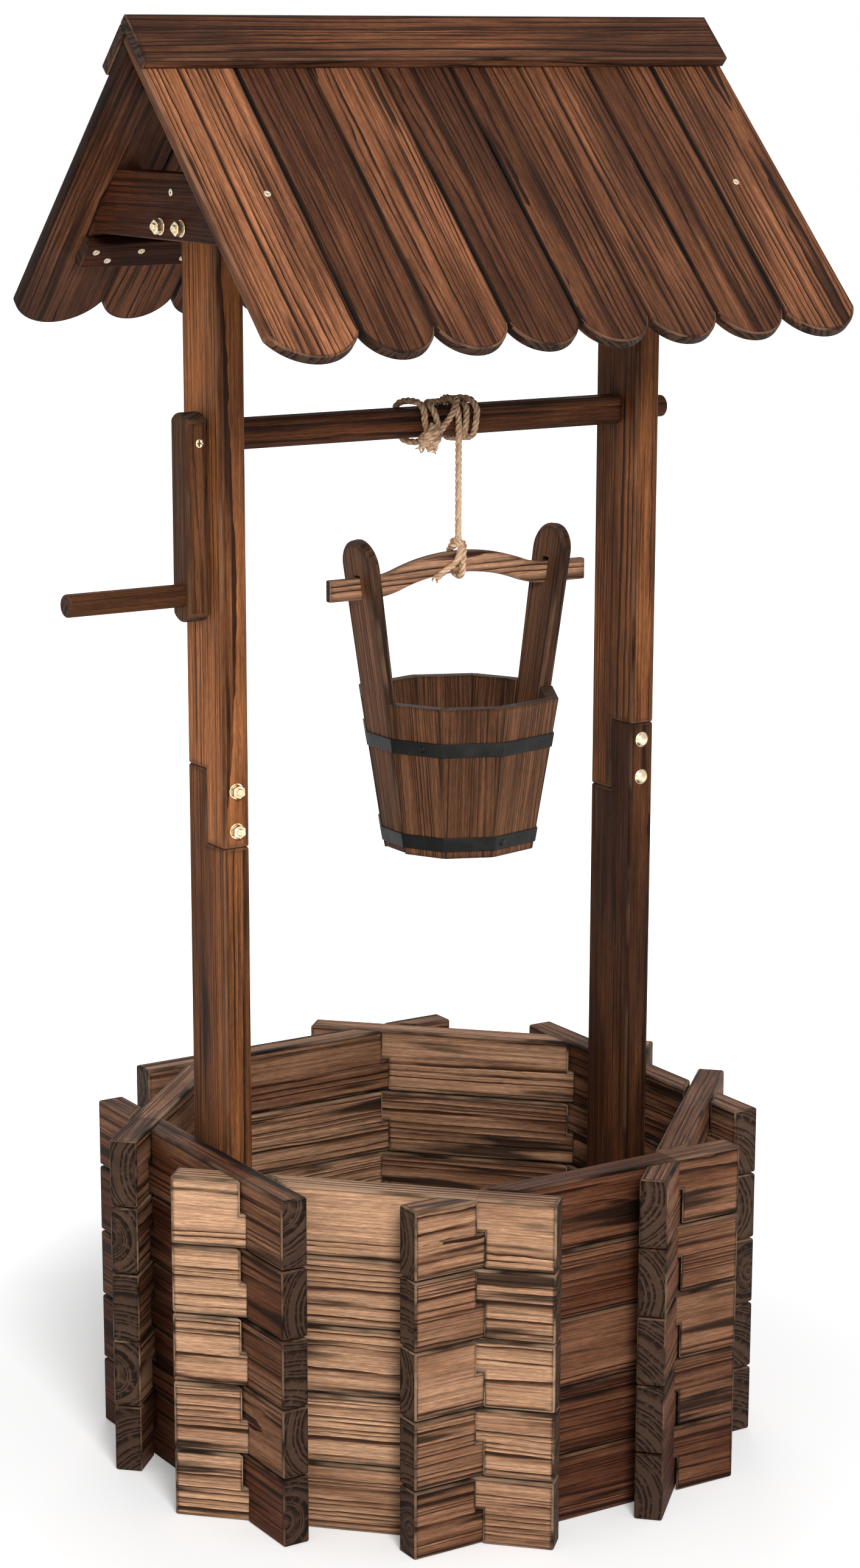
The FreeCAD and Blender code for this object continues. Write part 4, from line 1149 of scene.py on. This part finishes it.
gather("hoop_tacks", tacks, black_steel, "bucket", "hoop_steel")

# %% [markdown]
# ## Rope
# The rope is one length of three-strand twisted fibre. A NURBS curve through the route gives its line, and three
# strands are wound round that line, so that the lay shows as real ridges.

# %% Rope helpers
rope_radius = rope_wide / 2
lay_length = 15 * mm                     # one full twist of the three strands
strand_share, reach_share = 0.60, 0.52   # a strand's radius and its way off the line, in rope radii
crest = strand_share + reach_share
rope_step = 0.9 * mm
frayed_points, frayed_spread, frayed_tip = 6, 1.5, 0.3


def rope_line(points):
    """The smooth line of a route: the points of a NURBS curve, evaluated."""
    curve = bpy.data.curves.new("route", "CURVE")
    curve.dimensions = "3D"
    spline = curve.splines.new("NURBS")
    spline.points.add(len(points) - 1)
    for target, point in zip(spline.points, points):
        target.co = (*point, 1)
    spline.order_u = 3
    spline.use_endpoint_u = True
    spline.resolution_u = 8
    route = bpy.data.objects.new("route", curve)
    mesh = bpy.data.meshes.new_from_object(route)
    line = [v.co.copy() for v in mesh.vertices]
    bpy.data.meshes.remove(mesh)
    bpy.data.objects.remove(route)
    return line


def evenly(line, step):
    """The line again, with points a step apart, and its length."""
    lengths = [0.0]
    for a, b in zip(line, line[1:]):
        lengths.append(lengths[-1] + (b - a).length)
    count = max(2, round(lengths[-1] / step))
    result, at = [], 0
    for i in range(count + 1):
        goal = lengths[-1] * i / count
        while at < len(line) - 2 and lengths[at + 1] < goal:
            at += 1
        share = (goal - lengths[at]) / max(lengths[at + 1] - lengths[at], 1e-12)
        result.append(line[at].lerp(line[at + 1], share))
    return result, lengths[-1]


def side_vectors(line):
    """Two directions square to the line at each point, carried along without twist."""
    side, pairs = None, []
    for i in range(len(line)):
        tangent = (line[min(i + 1, len(line) - 1)] - line[max(i - 1, 0)]).normalized()
        side = side or tangent.orthogonal()
        side = (side - tangent * side.dot(tangent)).normalized()
        pairs.append((side, tangent.cross(side)))
    return pairs


def strand(path, radius, tip):
    """A round tube along a path, from a bevelled curve. Its last points may thin out to a tip."""
    curve = bpy.data.curves.new("strand", "CURVE")
    curve.dimensions = "3D"
    spline = curve.splines.new("POLY")
    spline.points.add(len(path) - 1)
    for i, (target, point) in enumerate(zip(spline.points, path)):
        target.co = (*point, 1)
        target.radius = min(1.0, tip + (1 - tip) * (len(path) - 1 - i) / frayed_points)
    curve.bevel_depth = radius
    curve.bevel_resolution = 2
    curve.use_fill_caps = True
    holder = bpy.data.objects.new("strand", curve)
    mesh = bpy.data.meshes.new_from_object(holder)
    bpy.data.objects.remove(holder)
    return mesh


def twisted_rope(route, radius=rope_radius, start_turn=0.0, frayed=False):
    """Three strands round a route's line, with attributes for the fibres and for the painted shade of the crevices.
    """
    points, length = evenly(rope_line(route), rope_step)
    sides = side_vectors(points)
    last = len(points) - 1
    whole = bmesh.new()
    whole.verts.layers.float_vector.new("lay")
    whole.verts.layers.float.new("deep")
    for number in range(3):
        path = []
        for i, (point, (side, other)) in enumerate(zip(points, sides)):
            angle = start_turn + tau * (number / 3 + length * i / last / lay_length)
            loose = max(0.0, 1 - (last - i) / frayed_points) if frayed else 0.0
            reach = radius * reach_share * (1 + frayed_spread * loose)
            path.append(point + side * (cos(angle) * reach) + other * (sin(angle) * reach))
        mesh = strand(path, radius * strand_share, frayed_tip if frayed else 1.0)
        before = len(whole.verts)
        whole.from_mesh(mesh)
        bpy.data.meshes.remove(mesh)
        whole.verts.ensure_lookup_table()
        lay, deep = whole.verts.layers.float_vector["lay"], whole.verts.layers.float["deep"]
        near = 0
        for vert in whole.verts[before:]:
            while near < last and (path[near + 1] - vert.co).length < (path[near] - vert.co).length:
                near += 1
            side, other = sides[near]
            arm = vert.co - path[near]
            around = atan2(arm.dot(other), arm.dot(side)) / tau
            vert[lay] = (around * 0.02 + number * 0.31, length * near / last / mm * 0.05, number)
            # Painted shade: the deeper a point lies between the strands, the more its colour is darkened.
            vert[deep] = min(max((crest - (vert.co - points[near]).length / radius) / 0.5, 0), 1)
    for face in outwards(whole).faces:
        face.smooth = True
    return whole, length


# %% [markdown]
# The wound part follows a square bar with rounded corners. It winds to the right in two turns, crosses over
# them along the top to the left, makes two turns there and comes back as a slanting strand in front. A station
# says where the rope lies along the bar, how far it has gone round and how high it is lifted by a strand below.
# A turn of the coil has 18 points, so that the spline keeps to the bar.

# %% Wound rope
bar_gap, bar_rounding = 0.4 * mm, 6.6 * mm       # of the rope's middle line round the bar's corners
station_zero = 18                        # the hanging rope's place among the stations


def bar_reach(angle, lift):
    """From the axle's centre to the middle of a rope that lies on the square bar, in a direction."""
    half = axle_side / 2 + rope_radius + bar_gap + lift
    rounding = bar_rounding + lift
    straight = half - rounding
    aside = abs((angle + pi / 4) % (pi / 2) - pi / 4)
    if half * tan(aside) <= straight:
        return half / cos(aside)
    corner = pi / 4 - aside
    middle = straight * sqrt(2)
    return middle * cos(corner) + sqrt(rounding ** 2 - (middle * sin(corner)) ** 2)


def on_axle(x, degrees, lift):
    """A point of the rope's line: millimetres along the axle, turn from the front, lift off the bar."""
    angle = radians(degrees)
    reach = bar_reach(angle, lift * mm)
    return Vector((rope_x + (x - station_zero) * mm, -reach * cos(angle), axle_z + reach * sin(angle)))


def coil_points(stations, turn_step=20, run_step=4):
    """Points from station to station, close enough together for the coil."""
    points = []
    last = len(stations) - 1
    for i in range(last):
        a, b, c, d = (stations[min(max(k, 0), last)] for k in (i - 1, i, i + 1, i + 2))
        count = max(1, round(max(abs(c[1] - b[1]) / turn_step, abs(c[0] - b[0]) / run_step)))
        for k in range(count):
            t = k / count
            points.append(on_axle(*(
                q + 0.5 * t * (r - p + t * (2 * p - 5 * q + 4 * r - s + t * (3 * (q - r) + s - p)))
                for p, q, r, s in zip(a, b, c, d))))
    return points + [on_axle(*stations[-1])]


lead_end = (21.0, 180, 3.0)
wound_stations = [
    lead_end, (23.6, 270, 0), (26.6, 360, 0), (28.6, 450, 0), (30.4, 540, 0), (32.6, 630, 0), (36.2, 720, 0),
    (36.6, 752, 0.6), (35.2, 776, 1.8), (32.4, 796, 2.8), (27, 808, 2.8), (19, 814, 0.8), (12.5, 816, 0.4),
    (6, 812, 0.4), (-2.5, 806, 0.4), (-5.5, 780, 0.2), (-3.8, 755, 0), (-0.6, 720, 0), (1.0, 690, 0),
    (-4, 645, 0.8), (-13, 610, 2.4), (-20, 565, 1.4), (-22.5, 525, 0.3), (-22, 490, 0.6), (-18, 455, 2.6),
    (-14, 415, 1.8), (-12.8, 375, 0.3), (-11, 344, 0.3), (-6.5, 320, 2.0), (-3.0, 328, 3.6), (0.5, 342, 3.6),
    (5, 355, 3.0), (10.4, 375, 3.0), (15.5, 397, 3.4), (20.5, 420, 3.6)]
wound_route = coil_points(wound_stations)
wound, wound_length = twisted_rope(wound_route)

# %% [markdown]
# A short tie is wound round the strands where they meet in front, and its ends are frayed.

# %% Tie on the wound rope
tie_along, tie_across = Vector((0.62, 0, -0.78)), Vector((0.78, 0, 0.62))
tie_middle = Vector((rope_x - 29 * mm, -(axle_side / 2 + 8.5 * mm), axle_z - 10.5 * mm))
tie_turns, points_a_turn, tie_pitch = 2.5, 14, 4.9 * mm
tie_wide, tie_deep = 7.2 * mm, 4.6 * mm
tie_route = []
for i in range(int(tie_turns * points_a_turn) + 1):
    share = i / points_a_turn
    angle = tau * share
    tie_route.append(tie_middle + tie_along * ((share - tie_turns / 2) * tie_pitch)
                     + tie_across * (tie_wide * cos(angle)) - Y * (tie_deep * sin(angle)))
tails = [[tie_middle + Vector(p) * mm for p in route] for route in (
    ((-3, -2, 0), (-6, -1.5, -4), (-8, -0.5, -7.5), (-10, 0.5, -10.5)),
    ((4, -3, -3), (3, -3.5, -6.5), (1.5, -3, -9.5), (0.5, -2.5, -12)))]
tie_parts = [twisted_rope(tie_route)[0]] + [twisted_rope(route, frayed=True)[0] for route in tails]
wound_rope = gather("wound_rope", [wound], jute, "windlass", "rope", "rope_winding")
winding_tie = gather("winding_tie", tie_parts, jute, "windlass", "rope")
print("wound rope: %.0f mm in %d points" % (wound_length / mm, len(wound_route)))

# %% [markdown]
# ## Hanging rope
# From the axle the rope hangs straight down to the bail. Its half turn over the axle and its first centimetre form
# one piece that bends with the swing. That half turn is lifted a little, so that the square bar's corners turn under
# it. The rest is a piece that stretches between the axle and the knot as the bucket goes up and down.

# %% Hanging rope
lead_foot = axle_z - 10 * mm
knot_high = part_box("bail_knot")[1]
lead_route = coil_points([lead_end, (19.8, 135, 0.9), (18.8, 92, 3.6), (18.2, 50, 0.8)]) + [
    Vector((rope_x, rope_y + dy * mm, axle_z + dz * mm))
    for dy, dz in ((1.6, 8.5), (0.3, 4), (0, 0), (0, -5), (0, -10))]
lead, lead_length = twisted_rope(lead_route)
rope_lead = joined("rope_lead", [lead], jute)
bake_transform(rope_lead, "stand", "hoist_rope", start=(rope_x, rope_y, axle_z), end=(rope_x, rope_y, lead_foot))

fall_foot, straight_end = knot_high.z - 3 * mm, 30 * mm
fall_route = [Vector((rope_x, rope_y, z)) for z in (
    lead_foot, lead_foot - straight_end, fall_foot + straight_end, fall_foot)]
fall, fall_length = twisted_rope(fall_route, start_turn=lead_length / lay_length * tau)
rope_fall = joined("rope_fall", [fall], jute)
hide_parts("hanging_rope", "rope_end")
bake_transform(rope_fall, "hoist_rope", "rope_foot", start=(rope_x, rope_y, fall_high.z),
         end=(rope_x, rope_y, fall_low.z))
print("hanging rope: %.0f mm below its lead" % (fall_length / mm))

# %% [markdown]
# ## Knot on the bail
# The rope's end goes over the bail, round under it, up in front, round its own standing part and down to the left
# as a loose tail.

# %% Knot on the bail
bail_crest = bail_middle + bail_rise + bail_deep / 2


def at_bail(points):
    """Points by their distances in millimetres from the bail's crest, straight under the rope."""
    return [Vector((rope_x + x * mm, rope_y + y * mm, bail_crest + z * mm)) for x, y, z in points]


hitch_route = at_bail((
    (0, 0, 10.5), (-1.2, -1.5, 8), (-3.0, -2.6, 5.8), (-5.0, -0.6, 4.0), (-5.4, 3.2, 3.0), (-4.5, 6, -1.5),
    (-3, 6.3, -9), (-1, 6.2, -16), (0, 3.4, -20.3), (0.2, -3.4, -20.3), (0.2, -6.4, -16), (0.3, -6.3, -9),
    (0.8, -6.2, -2), (1.6, -5.2, 2.4), (3.6, -2.4, 4.6), (4.4, 1.8, 5.6), (1.8, 4.9, 6.4), (-2.6, 3.8, 7),
    (-4.6, -0.6, 7.4), (-2.2, -4.4, 6.4), (1.2, -5.6, 4.2)))
tail_route = at_bail((
    (0.2, -4.8, 6.0), (-2.0, -6.8, 2.2), (-3.6, -6.6, -3.8), (-5.6, -6.4, -8.6), (-10, -6.2, -11.4),
    (-16, -6.2, -14.6), (-22, -6.4, -18.2), (-27.5, -6.8, -21.8)))
hitch_swell = 1.08                       # tied rope is a little thicker
hitch = [twisted_rope(hitch_route, rope_radius * hitch_swell)[0], twisted_rope(tail_route, frayed=True)[0]]
bail_hitch = gather("bail_hitch", hitch, jute, "bucket", "rope", "bail_knot")

# %% [markdown]
# ## Floor and light
# A pale floor under a white world stands for the studio. Away from the planter it glows as bright as the page,
# but only for the eye: Light Path keeps that glow off the object. A large soft lamp stands high on the camera's
# side and lights the faces that look to the front and left, and a weak one behind draws the far edges.

# %% Floor and light
def eye_only(tree):
    """1 for what the camera sees, straight or through a reflection or glass."""
    rays = add_node(tree, "ShaderNodeLightPath").outputs
    seen = calc(tree, "MAXIMUM", rays["Is Camera Ray"], rays["Is Glossy Ray"])
    return calc(tree, "MAXIMUM", seen, rays["Is Transmission Ray"])


def floor_finish():
    material, tree, shader = new_material("studio_floor")
    place = object_place(tree)
    far = span(tree, vector_calc(tree, "LENGTH", place, output="Value"), 0.36, 1.1, 0.22, 1.0)
    fill(tree, shader, Emission_Color=(1, 1, 1, 1), Emission_Strength=calc(tree, "MULTIPLY", far, eye_only(tree)),
         Base_Color=mix_colour(tree, noise(tree, place, 3.0), (0.90, 0.90, 0.90, 1), (0.92, 0.92, 0.92, 1)),
         Roughness=0.9, Specular_IOR_Level=0.0)
    return material


floor_bm = bmesh.new()
floor_half = 14.0                        # metres
bmesh.ops.create_grid(floor_bm, x_segments=1, y_segments=1, size=floor_half)
floor = joined("studio_floor", [floor_bm], floor_finish())
floor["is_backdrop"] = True


def lamp(name, at, aim, size, power):
    data = bpy.data.lights.new(name, "AREA")
    data.shape = "DISK"
    data.size = size
    data.energy = power
    made = bpy.data.objects.new(name, data)
    aim_turn = (Vector(aim) - Vector(at)).to_track_quat("-Z", "Y").to_matrix().to_4x4()
    made.matrix_world = Matrix.Translation(at) @ aim_turn
    bpy.context.scene.collection.objects.link(made)


lamp("key", at=(-1.2, -3.1, 2.3), aim=(0, 0, 0.6), size=1.2, power=122)
lamp("rim", at=(1.4, 2.8, 2.4), aim=(0, 0, 0.7), size=1.8, power=24)

world = bpy.data.worlds.new("studio")
world.use_nodes = True
bpy.context.scene.world = world
sky = world.node_tree
world_light = 0.42
glow = calc(sky, "ADD", world_light, calc(sky, "MULTIPLY", eye_only(sky), 1 - world_light))
fill(sky, sky.nodes["Background"], Strength=glow, Color=(1, 1, 1, 1))

# %% Finish
low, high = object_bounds()
